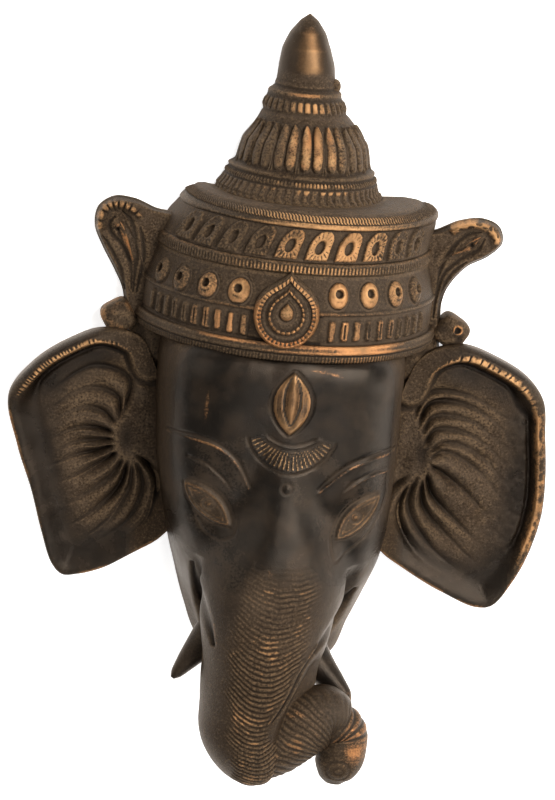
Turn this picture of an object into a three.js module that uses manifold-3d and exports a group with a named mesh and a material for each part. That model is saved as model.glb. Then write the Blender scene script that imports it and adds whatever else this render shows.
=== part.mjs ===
// A cast brass wall mask: the head of an elephant under a tiered crown,
// with spread ears and a curled trunk. It is one hollow casting, open at the back,
// and it lies on the flat rim of that opening.
// Millimetres. +X is to the viewer's right, +Y towards the finial and +Z out of the face.
import * as THREE from "three";
import { mergeVertices } from "three/addons/utils/BufferGeometryUtils.js";
import Module from "manifold-3d";

const wasm = await Module();
wasm.setup();

// Driving dimensions. The crown's axis is X = 0, and Y = 0 is the lower edge of the crown's brow band.
const WALL = 4;
const CROWN_SEGMENTS = 28;
const CROWN_CAVITY_FLOOR = 3;
const CROWN_FLATNESS = 0.96;
const HEAD_TOP = 5;
const CAVITY_END = -116;
const OPEN_DEPTH = 40;
const HOLLOW_SPREAD = 2.2;
const TRUNK_CAP_START = -150;
const TRUNK_END = -172;
const HEAD_COLUMNS = 32;
const EAR_THICKNESS = 3.6;

// Head sections, from the jaw up to the crown: y, half width, x of the middle, front z,
// z of the widest line, back z, squareness
const HEAD = [
  [-134, 16, 2.6, 42, 34, 28, 2.4],
  [-126, 28, 2.6, 44, 20, 6, 2.5],
  [-114, 34.2, 2.5, 48, 6, -4, 2.7],
  [-101, 39, 2.9, 51.5, 0, -5, 2.9],
  [-88, 43, 3, 54.5, 0, -5, 3.2],
  [-70, 46, 2, 57, 0, -5, 3.6],
  [-48, 48, 0, 58, 0, -5, 3.9],
  [-20, 49, -1, 57, 0, -5, 3.9],
  [-3, 48.5, -0.6, 55.6, 0, -5, 3.6],
  [6, 44, 0, 46, 0, -5, 3.2],
];
// Trunk sections: y, half width, x of the middle, top z, z of the widest line, back z
const TRUNK = [
  [-172, 16, -2, 82, 63, 46],
  [-150, 17, -7.6, 83, 62, 42],
  [-140, 20.6, -4.2, 83, 59, 34],
  [-132, 22.8, -2.2, 82, 56, 29],
  [-124, 23.5, -1.6, 80.5, 52, 24],
  [-112, 26, -0.8, 77.5, 47, 18],
  [-100, 29, -0.2, 74.5, 43, 14],
  [-88, 30, 0.3, 71.5, 41, 12],
  [-76, 26, 0.6, 68.5, 40, 12],
  [-62, 18, 1, 64.5, 38, 14],
  [-46, 12, 1, 59, 34, 16],
  [-26, 8, 1, 50, 30, 20],
];
const TRUNK_SQUARENESS = 2.2;
// The line inside the head and trunk that their sections are measured from: y, z
const SPINE = [
  [-173, 61],
  [-150, 61],
  [-136, 56],
  [-124, 43],
  [-112, 31],
  [-96, 24],
  [14, 20],
];
// The fold between trunk and cheek on each side: y, angle above the spine in degrees, depth
const CHEEK_FOLD = [
  [-130, 16, 0],
  [-120, 21, 5],
  [-108, 29, 7],
  [-98, 35, 6.5],
  [-90, 39, 4],
  [-83, 42, 0],
];
const CHEEK_FOLD_WIDTH = 4.6;
// The crease that parts the trunk's front from the recess above its curl: y, x, share of the
// height above the spine that is lost on the right of it
const TRUNK_CREASE = [
  [-154, 2.5, 0],
  [-148, 2.5, 0.13],
  [-141, 3.5, 0.32],
  [-134, 6.5, 0.4],
  [-127, 10, 0.32],
  [-121, 13, 0.19],
  [-117, 15, 0.06],
  [-112, 20, 0],
];
const CREASE_SLOPE = 4;
const EYES = [
  { x: -26.8, y: -61.5, tilt: -30, roll: -17 },
  { x: 30.4, y: -62.6, tilt: 42, roll: 17 },
];
const EYE_SINK = 1.5;
const SOCKET = { halfWidth: 15, halfHeight: 10, depth: 2.6 };

// The crown's outside from its underside to the tip of the finial: radius, y
const CROWN = [
  [56, -1], [60, 0], [61, 3], [60.2, 6.2], [58.8, 6.8], [58.6, 18], [59.4, 18.8], [58.6, 19.6],
  [54.8, 33], [56, 33.6], [55.6, 36.6], [53.6, 37], [49.6, 50.4], [50.6, 51.2], [47.6, 54.2],
  [45.8, 54.4], [44.4, 56.4], [40, 57.2], [36.4, 55.8],
  [33.6, 55.6], [31, 60], [30.6, 62.2], [29, 64], [28.9, 66], [26.8, 67.4],
  [26, 72], [24.8, 76.5], [20.4, 82.6], [17.6, 86.7], [16.3, 90], [15, 93.4], [13, 97],
  [11.7, 100], [11, 106.4], [9.6, 112.8], [6.9, 119.1], [3.4, 123.9], [0, 126.4],
];
const CROWN_CAVITY = [
  [56.6, CROWN_CAVITY_FLOOR], [54.6, 19], [49.6, 35], [44.2, 50],
  [29, 52], [25, 64], [20, 77], [12, 85], [0, 87],
];
// How far the crown was modelled off its axis to the right: y, shift
const CROWN_SWAY = [
  [-1, 0], [36, 1], [44, 3], [49, 5.2], [54, 6], [56.4, 1], [62, 1.3], [76, 1.6], [84, 1.3], [90, 0.1],
  [103, -0.2], [114, -1], [127, -1],
];

// Each ear's outline, from above its root round the free edge and back up the side of the head
const EAR_LEFT = {
  side: -1,
  root: [-57, -48],
  top: [[-52, -14], [-58, -5], [-72.8, -2.7], [-85.9, -8.2], [-99, -18.1], [-108.1, -32.3]],
  edge: [[-103.3, -53.1], [-96.4, -71.5], [-91.2, -88.5], [-85.9, -102.2], [-81.5, -106.3]],
  bottom: [[-75, -105.8], [-65.2, -102.4], [-54, -95.5], [-43, -88], [-38, -80]],
  inner: [[-41.5, -62], [-44, -46], [-46.5, -30]],
};
const EAR_RIGHT = {
  side: 1,
  root: [61, -46],
  top: [[50.5, -16], [55, -6], [62, -1.1], [72.3, 0.9], [86.6, -3.5], [99.7, -10.8], [107, -20]],
  edge: [[109.6, -36], [111.6, -52], [111.8, -68], [108.6, -84], [103, -98], [95.7, -108.4]],
  bottom: [[89.2, -109.5], [73.6, -103.6], [58, -95.2], [46.9, -87.6], [42, -79]],
  inner: [[43.5, -62], [45, -46], [46.5, -31]],
};
const EAR_FOLDS = 11;
const COLUMNS_PER_FOLD = 3;
const EAR_CLOSING_COLUMNS = 5;
const EAR_RIM_Z = 19.5;
const EAR_EDGE_Z = 16;
const EAR_DISH_Z = 11.5;
const EAR_ROOT_Z = 17;
const EAR_FOLD_DEPTH = 2.6;
// The folds leave the root in one direction and end in another, in degrees up from straight outwards.
const FOLD_TURNS = [
  [-255, -248], [-180, -195], [-115, -150], [-90, -130], [-65, -95],
  [-34, -25], [-10, 8], [18, 55], [58, 96], [105, 112],
];

// The curled leaf on each side of the crown: its outline, the part of it that is rolled,
// and the drop inside it
const LEAF_LEFT = {
  outline: [
    [-50, -8], [-62, -7], [-64.4, 3.5], [-66.2, 12.6], [-70.1, 20.3], [-75.3, 29], [-79, 37.5],
    [-78, 45], [-72, 49.4], [-64, 49], [-56, 46], [-44, 42],
  ],
  roll: [
    [-62.4, 0], [-64.2, 12], [-68.4, 21], [-73.6, 30], [-76.8, 38],
    [-75.4, 44.4], [-70.4, 47], [-64, 46.4], [-56, 43],
  ],
  drop: { x: -68.6, y: 36.4, turn: 32 },
};
const LEAF_RIGHT = {
  outline: [
    [50, -6], [62, -5], [62.4, 6], [62.3, 16.3], [64.5, 23.5], [71, 31.5], [79, 36.4],
    [84, 42], [82.4, 48.4], [75.4, 51.4], [66, 50], [57, 45.5], [45, 42],
  ],
  roll: [
    [60.6, 2], [60.6, 16], [62.8, 24.4], [69.6, 33], [77.8, 38.6],
    [81.4, 43], [79.8, 47], [74.8, 49], [66.4, 47.6], [57, 42.6],
  ],
  drop: { x: 72.4, y: 42, turn: -62 },
};
const LEAF_ROLL_RADIUS = 2.3;
const LEAF_THICKNESS = 6;
const LEAF_BEVEL = 1.4;
const LEAF_Z = 3.5;

// The trunk's end from inside the elbow: x, y, z, radius
const CURL = [
  [-3, -157.6, 61, 14.4], [7, -153.4, 63, 13.4], [17, -145.6, 62, 13.4],
  [25.5, -142.8, 60, 11.8], [31, -145.6, 59.5, 9.6],
];
const CURL_END = [
  [28, -145, 61, 9], [33, -149.6, 60, 9.5], [33.4, -157, 61, 9.9],
  [32, -163.4, 62, 9], [31.2, -168, 62.5, 6.4], [31, -170.6, 63, 3],
];
// Each tusk from inside the cheek to its tip: x, y, z, radius
const TUSK_LEFT = [
  [-17, -114, 36, 8], [-23.6, -122.6, 39, 6.4], [-29.8, -130, 42, 4.2],
  [-34, -135.2, 43.8, 2.3], [-35.4, -137, 44.4, 0.8],
];
const TUSK_RIGHT = [
  [15, -118, 38, 9], [21.4, -126.8, 43, 7.2], [28.4, -133, 48, 5],
  [33.8, -137.4, 51.6, 2.9], [35.6, -139.4, 52.8, 1],
];

// A table's row at y, smooth between the stations.
function along(stations, y) {
  const last = stations.length - 1;
  const t = THREE.MathUtils.clamp(y, stations[0][0], stations[last][0]);
  const found = stations.findIndex((s) => s[0] > t) - 1;
  const i = found < 0 ? last - 1 : found;
  const span = stations[i + 1][0] - stations[i][0];
  const u = (t - stations[i][0]) / span;
  const slope = (k, c) => {
    const a = stations[Math.max(k - 1, 0)];
    const b = stations[Math.min(k + 1, last)];
    return ((b[c] - a[c]) / (b[0] - a[0])) * span;
  };
  return stations[i].slice(1).map((from, n) => {
    const to = stations[i + 1][n + 1];
    const [m0, m1] = [slope(i, n + 1), slope(i + 1, n + 1)];
    return (
      from * (2 * u ** 3 - 3 * u ** 2 + 1) + m0 * (u ** 3 - 2 * u ** 2 + u) +
      to * (3 * u ** 2 - 2 * u ** 3) + m1 * (u ** 3 - u ** 2)
    );
  });
}

// How far a point of a section lies outside a rounded rectangle, negative inside.
function outside(x, z, halfWidth, front, widest, back, squareness) {
  const reach = z > widest ? front - widest : widest - back;
  const q = (Math.abs(x) / halfWidth) ** squareness + (Math.abs(z - widest) / reach) ** squareness;
  return (q ** (1 / squareness) - 1) * Math.min(halfWidth, reach);
}

// How far a point lies outside the head and trunk, which flow into each other. Open ones have no back.
function headField(x, y, z, isOpen = false) {
  const [halfWidth, middle, front, widest, headBack, squareness] = along(HEAD, y);
  const [tHalf, tMiddle, tTop, tWidest, trunkBack] = along(TRUNK, y);
  const [back, tBack] = isOpen ? [-OPEN_DEPTH, -OPEN_DEPTH] : [headBack, trunkBack];
  const cap = THREE.MathUtils.clamp((TRUNK_CAP_START - y) / (TRUNK_CAP_START - TRUNK_END), 0, 1);
  const k = Math.sqrt(Math.max(1 - cap * cap, 1e-6));
  const head = y < HEAD[0][0] ? 99 : outside(x - middle, z, halfWidth, front, widest, back, squareness);
  const top = tWidest + (tTop - tWidest) * k;
  const bottom = tWidest - (tWidest - tBack) * k;
  const trunk = outside(x - tMiddle, z, tHalf * k, top, tWidest, bottom, TRUNK_SQUARENESS);
  const blend = 6;
  const near = Math.max(blend - Math.abs(head - trunk), 0) / blend;
  return Math.min(head, trunk) - (near * near * blend) / 4;
}

// How far the surface is sunk by the cheek folds and the eye sockets.
// The hollow stays clear of them by a spread.
function carved(x, y, z, spineZ, middle, spread) {
  const [foldAngle, foldDepth] = along(CHEEK_FOLD, y);
  const reach = Math.hypot(x - middle, z - spineZ);
  const elevation = THREE.MathUtils.radToDeg(Math.atan2(z - spineZ, Math.abs(x - middle)));
  const away = (THREE.MathUtils.degToRad(elevation - foldAngle) * reach) / (CHEEK_FOLD_WIDTH * spread);
  let depth = Math.max(foldDepth, 0) * Math.exp(-2 * away * away);
  for (const eye of EYES) {
    const dx = (x - eye.x) / SOCKET.halfWidth;
    const dy = (y - eye.y) / SOCKET.halfHeight;
    depth += SOCKET.depth * Math.exp(-2 * (dx * dx + dy * dy)) * (z > spineZ ? 1 : 0);
  }
  return depth;
}

// The height of a point of the trunk after the recess beside the crease is pressed in.
function recessed(x, y, z, spineZ) {
  const [creaseX, loss] = along(TRUNK_CREASE, y);
  const lost = Math.max(loss, 0) * THREE.MathUtils.smoothstep(x - creaseX, 0, CREASE_SLOPE);
  return z > spineZ ? spineZ + (z - spineZ) * (1 - lost) : z;
}

// One closed section of the head and trunk at y, sunk by `inset` for the hollow inside.
function headSection(y, inset, columns) {
  const [spineZ] = along(SPINE, y);
  const middle = along(TRUNK, y)[1];
  const rays = 240;
  const dense = [];
  for (let i = 0; i < rays; i++) {
    const angle = -Math.PI / 2 + (i / rays) * 2 * Math.PI;
    const [dx, dz] = [Math.cos(angle), Math.sin(angle)];
    let [low, high] = [0, 90];
    while (high - low > 0.02) {
      const r = (low + high) / 2;
      if (headField(middle + r * dx, y, spineZ + r * dz, inset > 0) + inset < 0) low = r;
      else high = r;
    }
    const spread = inset ? HOLLOW_SPREAD : 1;
    const sunk = low - carved(middle + low * dx, y, spineZ + low * dz, spineZ, middle, spread);
    dense.push([middle + sunk * dx, recessed(middle + sunk * dx, y, spineZ + sunk * dz, spineZ)]);
  }
  // The columns are spread by length along the section, and thinly over its back.
  const travel = [0];
  dense.forEach(([x, z], i) => {
    const [nx, nz] = dense[(i + 1) % rays];
    const weight = Math.min(z, nz) < spineZ - 14 ? 0.3 : 1;
    travel.push(travel[i] + weight * Math.hypot(nx - x, nz - z));
  });
  return Array.from({ length: columns }, (_, n) => {
    const goal = (n / columns) * travel[rays];
    const i = travel.findIndex((t) => t > goal) - 1;
    const f = (goal - travel[i]) / (travel[i + 1] - travel[i]);
    const [a, b] = [dense[i], dense[(i + 1) % rays]];
    return [THREE.MathUtils.lerp(a[0], b[0], f), y, THREE.MathUtils.lerp(a[1], b[1], f)];
  });
}

// A closed mesh through loops of equal length, with its two ends filled from their middles.
function loft(loops) {
  const columns = loops[0].length;
  const points = loops.flat();
  const average = (loop, axis) => loop.reduce((sum, point) => sum + point[axis], 0) / columns;
  for (const loop of [loops[0], loops.at(-1)]) points.push([0, 1, 2].map((axis) => average(loop, axis)));
  const index = [];
  for (let i = 0; i < columns; i++) {
    const j = (i + 1) % columns;
    for (let row = 0; row + 1 < loops.length; row++) {
      const [a, b] = [row * columns, (row + 1) * columns];
      index.push(a + i, a + j, b + j, a + i, b + j, b + i);
    }
    const top = (loops.length - 1) * columns;
    index.push(points.length - 2, j, i, points.length - 1, top + i, top + j);
  }
  const geometry = new THREE.BufferGeometry();
  geometry.setAttribute("position", new THREE.Float32BufferAttribute(points.flat(), 3));
  return geometry.setIndex(index);
}

// A round tube through points of x, y, z, radius, closed at both ends.
function taperedTube(points, steps, sides) {
  const curve = new THREE.CatmullRomCurve3(points.map((p) => new THREE.Vector3(...p)));
  const radii = points.map((p, i) => [i / (points.length - 1), p[3]]);
  const frames = curve.computeFrenetFrames(steps);
  return loft(
    Array.from({ length: steps + 1 }, (_, s) => {
      const centre = curve.getPoint(s / steps);
      const [radius] = along(radii, s / steps);
      return Array.from({ length: sides }, (_, i) => {
        const angle = (i / sides) * 2 * Math.PI;
        return centre.clone()
          .addScaledVector(frames.normals[s], radius * Math.cos(angle))
          .addScaledVector(frames.binormals[s], radius * Math.sin(angle))
          .toArray();
      });
    }),
  );
}

function toSolid(geometry) {
  const bare = new THREE.BufferGeometry();
  bare.setAttribute("position", geometry.getAttribute("position").clone());
  if (geometry.index) bare.setIndex(geometry.index.clone());
  const merged = mergeVertices(bare, 1e-3);
  const kept = [];
  for (let i = 0; i < merged.index.count; i += 3) {
    const [a, b, c] = [0, 1, 2].map((n) => merged.index.getX(i + n));
    if (a !== b && b !== c && c !== a) kept.push(a, b, c);
  }
  const vertProperties = merged.attributes.position.array;
  const build = (corners) => {
    const mesh = new wasm.Mesh({ numProp: 3, vertProperties, triVerts: new Uint32Array(corners) });
    return new wasm.Manifold(mesh);
  };
  const made = build(kept);
  return made.volume() > 0 ? made : build(kept.reverse());
}

function toGeometry(solid) {
  const mesh = solid.getMesh();
  const geometry = new THREE.BufferGeometry();
  geometry.setAttribute("position", new THREE.Float32BufferAttribute(mesh.vertProperties, 3));
  geometry.setIndex(new THREE.Uint32BufferAttribute(mesh.triVerts, 1));
  geometry.computeVertexNormals();
  return geometry;
}

function join(solids) {
  return solids.reduce((all, one) => all.add(one));
}

function headAndTrunk() {
  const rows = [];
  for (let y = HEAD_TOP; y > -80; y -= 11) rows.push(y);
  for (let y = -80; y > TRUNK_CAP_START; y -= 7) rows.push(y);
  for (const turn of [0, 22, 44, 64, 82]) {
    rows.push(TRUNK_CAP_START + (TRUNK_END - TRUNK_CAP_START) * Math.sin(THREE.MathUtils.degToRad(turn)));
  }
  return toSolid(loft(rows.map((y) => headSection(y, 0, HEAD_COLUMNS))));
}

function headCavity() {
  const rows = [HEAD_TOP + 4, -20, -50, -72, -86, -98, -108, CAVITY_END];
  return toSolid(loft(rows.map((y) => headSection(y, WALL, 22))));
}

function latheSolid(profile, segments) {
  const points = profile.map(([r, y]) => new THREE.Vector2(r, y));
  const closed = [new THREE.Vector2(0, profile[0][1]), ...points];
  return toSolid(swayed(new THREE.LatheGeometry(closed, segments)));
}

// The crown's radius at y, on its outside.
function crownRadius(y) {
  const i = CROWN.findIndex((p) => p[1] > y);
  const [a, b] = [CROWN[i - 1], CROWN[i]];
  return THREE.MathUtils.mapLinear(y, a[1], b[1], a[0], b[0]);
}

// Gives a round piece of the crown its slightly flat and leaning shape.
function swayed(geometry) {
  const position = geometry.getAttribute("position");
  for (let i = 0; i < position.count; i++) {
    const [shift] = along(CROWN_SWAY, position.getY(i));
    position.setX(i, position.getX(i) + shift);
    position.setZ(i, position.getZ(i) * CROWN_FLATNESS);
  }
  return geometry;
}

// Stands a flat piece, drawn in X and Y round its middle, on the crown
// at a height and an angle from the front.
function onCrown(geometry, y, degrees) {
  const slope = Math.atan2(crownRadius(y - 2) - crownRadius(y + 2), 4);
  geometry.rotateX(-slope);
  geometry.translate(0, y, crownRadius(y));
  geometry.rotateY(THREE.MathUtils.degToRad(degrees));
  return toSolid(swayed(geometry));
}

function plate(shape, depth, curveSegments) {
  const geometry = new THREE.ExtrudeGeometry(shape, { depth, bevelEnabled: false, curveSegments });
  return geometry.translate(0, 0, -depth / 2);
}

function holed(shape, radius, y) {
  const hole = new THREE.Path();
  hole.absarc(0, y, radius, 0, 2 * Math.PI, true);
  shape.holes.push(hole);
  return shape;
}

// Ten arched niches in the upper band.
function niches() {
  const [count, step, y] = [10, 12.6, 44.2];
  const [half, height] = [4.4, 12];
  return Array.from({ length: count }, (_, i) => {
    const arch = new THREE.Shape();
    arch.moveTo(-half, -height / 2);
    arch.lineTo(half, -height / 2);
    arch.lineTo(half, 1);
    arch.quadraticCurveTo(half * 0.8, height * 0.4, 0, height / 2);
    arch.quadraticCurveTo(-half * 0.8, height * 0.4, -half, 1);
    return onCrown(plate(holed(arch, 2, -0.8), 2.6, 2), y, (i - (count - 1) / 2) * step - 2.7);
  });
}

// Four oval bosses on each side of the pendant in the middle band.
const BOSS_Y_LEFT = 24.2;
const BOSS_Y_RIGHT = 25.6;
function bosses() {
  return [-60, -46.5, -33, -19.5, 19.5, 33, 46.5, 60].map((degrees) => {
    const y = degrees < 0 ? BOSS_Y_LEFT : BOSS_Y_RIGHT;
    const oval = new THREE.Shape();
    oval.absellipse(0, 0, 4.2, 5.1, 0, 2 * Math.PI);
    return onCrown(plate(holed(oval, 1.5, 0), 3.2, 3), y, degrees + PENDANT_ANGLE);
  });
}

// Upright bars in the lower band, on both sides of the pendant.
function bars() {
  const made = [];
  for (let n = 0; n < 10; n++) {
    for (const [side, first] of [[-1, 15.8], [1, 17.6]]) {
      const bar = new THREE.BoxGeometry(2.7, 9.6, 2.6);
      made.push(onCrown(bar, 12.4, side * (first + n * 5.2) + PENDANT_ANGLE));
    }
  }
  return made;
}

// A drop with its point upwards, as wide as 2 * radius and `height` tall, round its middle.
function drop(radius, height) {
  const low = radius - height / 2;
  const shoulder = low + radius * 0.9;
  const neck = height / 2 - radius * 0.4;
  const shape = new THREE.Shape();
  shape.moveTo(0, height / 2);
  shape.bezierCurveTo(-radius * 0.25, neck, -radius, shoulder, -radius, low);
  shape.absarc(0, low, radius, Math.PI, Math.PI * 2, false);
  shape.bezierCurveTo(radius, shoulder, radius * 0.25, neck, 0, height / 2);
  return shape;
}

// The drop-shaped pendant in front of the two lower bands.
const PENDANT_ANGLE = -5;
function pendant() {
  const layers = [
    [12.6, 29.6, 6.4],
    [7.6, 18.6, 8.2],
    [2.6, 7, 10],
  ];
  return layers.map(([radius, height, depth]) => {
    const geometry = plate(drop(radius, height), depth, 4).translate(0, 19.6, 58.6);
    return toSolid(swayed(geometry.rotateY(THREE.MathUtils.degToRad(PENDANT_ANGLE))));
  });
}

// Paired petals round the dome.
function petals() {
  const made = [];
  for (let n = -3; n <= 3; n++) {
    for (const side of [-1, 1]) {
      const petal = new THREE.SphereGeometry(1, 4, 4).scale(2.4, 8.6, 2.2);
      made.push(onCrown(petal, 75.6, n * 24 + side * 5.6));
    }
  }
  return made;
}

function crown() {
  const shell = latheSolid([...CROWN], CROWN_SEGMENTS);
  return join([shell, ...niches(), ...bosses(), ...bars(), ...pendant(), ...petals()]);
}

// An ear: columns fan out from its root along the folds and end on its outline.
function ear({ side, root, top, edge, bottom, inner }) {
  const outline = [...top, ...edge, ...bottom, ...inner].map(([x, y]) => new THREE.Vector3(x, y, 0));
  const free = (outline.length - inner.length - 1) / outline.length;
  const curve = new THREE.CatmullRomCurve3(outline, true, "centripetal");
  const fans = EAR_FOLDS * COLUMNS_PER_FOLD;
  const columns = Array.from({ length: fans + EAR_CLOSING_COLUMNS }, (_, i) => {
    const share = i < fans ? (i / fans) * free : free + ((i - fans) / EAR_CLOSING_COLUMNS) * (1 - free);
    const end = curve.getPoint(share);
    let aim = THREE.MathUtils.radToDeg(Math.atan2(end.y - root[1], side * (end.x - root[0])));
    if (i >= fans / 2 && aim > 100) aim -= 360;
    const [heading] = along(FOLD_TURNS, aim);
    const bend = 13 + 13 * Math.abs(Math.sin(THREE.MathUtils.degToRad(heading)));
    const knee = [
      root[0] + side * bend * Math.cos(THREE.MathUtils.degToRad(heading)),
      root[1] + bend * Math.sin(THREE.MathUtils.degToRad(heading)),
    ];
    const wave = i < fans ? [-1, 1, 0.3][i % COLUMNS_PER_FOLD] : 0;
    return { end, knee, wave, rim: i < fans ? 1 : 0.5 };
  });
  const place = ({ end, knee }, v) => [
    (1 - v) ** 2 * root[0] + 2 * v * (1 - v) * knee[0] + v * v * end.x,
    (1 - v) ** 2 * root[1] + 2 * v * (1 - v) * knee[1] + v * v * end.y,
  ];
  const height = (column, v) => {
    const dish = THREE.MathUtils.lerp(EAR_ROOT_Z, EAR_DISH_Z, THREE.MathUtils.smoothstep(v, 0, 0.5));
    const up = THREE.MathUtils.smoothstep(v, 0.8, 0.93) * (EAR_RIM_Z - EAR_DISH_Z);
    const over = THREE.MathUtils.smoothstep(v, 0.94, 1) * (EAR_RIM_Z - EAR_EDGE_Z);
    return dish + (up - over) * column.rim;
  };
  const rows = [0.12, 0.32, 0.56, 0.78, 0.86, 0.93, 1];
  const front = rows.map((v) => {
    const swell = Math.sin(Math.PI * Math.min(v / 0.86, 1));
    const fold = (EAR_FOLD_DEPTH / 2) * swell;
    return columns.map((column) => [...place(column, v), height(column, v) + fold * column.wave]);
  });
  const back = [1, 0.9, 0.12].map((v) => {
    const below = v === 1 ? EAR_THICKNESS : EAR_THICKNESS + 1;
    return columns.map((column) => [...place(column, v), height(column, Math.min(v, 0.9)) - below]);
  });
  return toSolid(loft([...front, ...back]));
}

// A curled leaf beside the crown, with a rolled rim and a drop lying in it.
function leaf({ outline, roll, drop: inside }) {
  const spline = new THREE.SplineCurve(outline.map(([x, y]) => new THREE.Vector2(x, y)));
  const shape = new THREE.Shape(spline.getPoints(Math.round(outline.length * 1.2)));
  const plain = new THREE.ExtrudeGeometry(shape, {
    depth: LEAF_THICKNESS,
    bevelThickness: LEAF_BEVEL,
    bevelSize: LEAF_BEVEL,
    bevelOffset: -LEAF_BEVEL,
    bevelSegments: 1,
  });
  const top = LEAF_Z + LEAF_THICKNESS + 1;
  const rim = taperedTube(roll.map(([x, y]) => [x, y, top, LEAF_ROLL_RADIUS]), 11, 5);
  const kernel = plate(drop(3.4, 13), 3.4, 3).rotateZ(THREE.MathUtils.degToRad(inside.turn));
  return join([
    toSolid(plain.translate(0, 0, LEAF_Z)),
    toSolid(rim),
    toSolid(kernel.translate(inside.x, inside.y, top)),
  ]);
}

// A small bud under each leaf.
function bud(x, y) {
  return toSolid(new THREE.SphereGeometry(1, 10, 6).scale(7, 6.6, 6.4).translate(x, y, 7.4));
}

// The metal that fills the corner between an ear, the head and the crown.
function web(x, y) {
  return toSolid(new THREE.SphereGeometry(1, 10, 6).scale(11, 16, 12.5).translate(x, y, 2));
}

// The head's front at a point, before anything is carved into it.
function faceHeight(x, y) {
  let [low, high] = [20, 100];
  while (high - low > 0.02) {
    const z = (low + high) / 2;
    if (headField(x, y, z) < 0) low = z;
    else high = z;
  }
  return low;
}

// An almond eye on the slope beside the trunk.
function eye({ x, y, tilt, roll }) {
  const almond = new THREE.SphereGeometry(1, 10, 6).scale(10.4, 5.4, 4.6);
  almond.rotateZ(THREE.MathUtils.degToRad(tilt)).rotateY(THREE.MathUtils.degToRad(roll));
  return toSolid(almond.translate(x, y, faceHeight(x, y) - SOCKET.depth - EYE_SINK));
}

// The flame-shaped mark on the forehead and the crescent below it.
function foreheadMarks() {
  const flame = plate(flameShape(), 8, 4).translate(0.5, -17, 57);
  const crescent = new THREE.Shape();
  crescent.absarc(1.8, -26.5, 18, Math.PI * 1.2, Math.PI * 1.8, false);
  crescent.absarc(1.8, -17.5, 17, Math.PI * 1.73, Math.PI * 1.27, true);
  return [toSolid(flame), toSolid(plate(crescent, 7, 5).translate(0, 0, 58))];
}

function flameShape() {
  const [half, height] = [8.4, 25.6];
  const shape = new THREE.Shape();
  shape.moveTo(0, -height / 2);
  shape.bezierCurveTo(half * 0.9, -height * 0.3, half * 1.5, height * 0.12, 0, height / 2);
  shape.bezierCurveTo(-half * 1.5, height * 0.12, -half * 0.9, -height * 0.3, 0, -height / 2);
  return shape;
}

// The small lug behind the finial's neck.
function lug() {
  return toSolid(new THREE.SphereGeometry(1, 8, 6).scale(2.4, 3, 2.4).translate(11.2, 98.8, 2.6));
}

function mask() {
  const outside = join([
    headAndTrunk(),
    crown(),
    ear(EAR_LEFT),
    ear(EAR_RIGHT),
    leaf(LEAF_LEFT),
    leaf(LEAF_RIGHT),
    bud(-66.6, 0.6),
    bud(67.4, 5),
    web(-53, -9),
    web(53.5, -8),
    ...EYES.map(eye),
    ...foreheadMarks(),
    toSolid(taperedTube(CURL, 6, 11)),
    toSolid(taperedTube(CURL_END, 7, 10)),
    toSolid(taperedTube(TUSK_LEFT, 4, 9)),
    toSolid(taperedTube(TUSK_RIGHT, 4, 9)),
    lug(),
  ]);
  const wallSide = toSolid(new THREE.BoxGeometry(400, 600, 100).translate(0, 0, -50));
  const hollow = headCavity().add(latheSolid(CROWN_CAVITY, 24));
  return outside.subtract(hollow).subtract(wallSide);
}

const brass = new THREE.MeshStandardMaterial({ color: 0x3b2c20, roughness: 0.42, metalness: 0.9 });
const body = new THREE.Mesh(toGeometry(mask()), brass);
body.name = "mask";

// The part's origin is the middle of its box, on the plane that its rim lies on.
body.geometry.computeBoundingBox();
const { min, max } = body.geometry.boundingBox;
body.position.set(-(min.x + max.x) / 2, -(min.y + max.y) / 2, 0);

const group = new THREE.Group();
group.add(body);
export default group;
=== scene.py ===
"""A cast brass elephant mask with dark patina, lying on its back on a pale floor."""

import math

import bpy
import numpy as np
from mathutils import Matrix, Vector


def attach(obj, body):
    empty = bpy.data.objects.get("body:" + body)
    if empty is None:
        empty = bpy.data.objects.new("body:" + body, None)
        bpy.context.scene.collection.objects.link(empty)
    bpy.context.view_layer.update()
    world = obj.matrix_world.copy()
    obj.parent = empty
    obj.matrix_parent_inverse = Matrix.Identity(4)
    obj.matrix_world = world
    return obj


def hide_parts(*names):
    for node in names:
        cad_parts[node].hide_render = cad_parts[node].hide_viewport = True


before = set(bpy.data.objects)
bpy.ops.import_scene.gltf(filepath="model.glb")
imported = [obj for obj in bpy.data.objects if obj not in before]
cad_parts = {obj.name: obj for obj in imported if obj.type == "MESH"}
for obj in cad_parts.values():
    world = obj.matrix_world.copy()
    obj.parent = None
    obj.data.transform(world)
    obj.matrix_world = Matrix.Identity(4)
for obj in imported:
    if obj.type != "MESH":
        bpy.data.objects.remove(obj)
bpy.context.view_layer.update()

# The shapes are drawn in millimetres round the crown's axis and moved to the part's origin at the end.
TO_PART = np.array([-1.9623, 22.693, 0.0])
MM = 0.001

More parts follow.
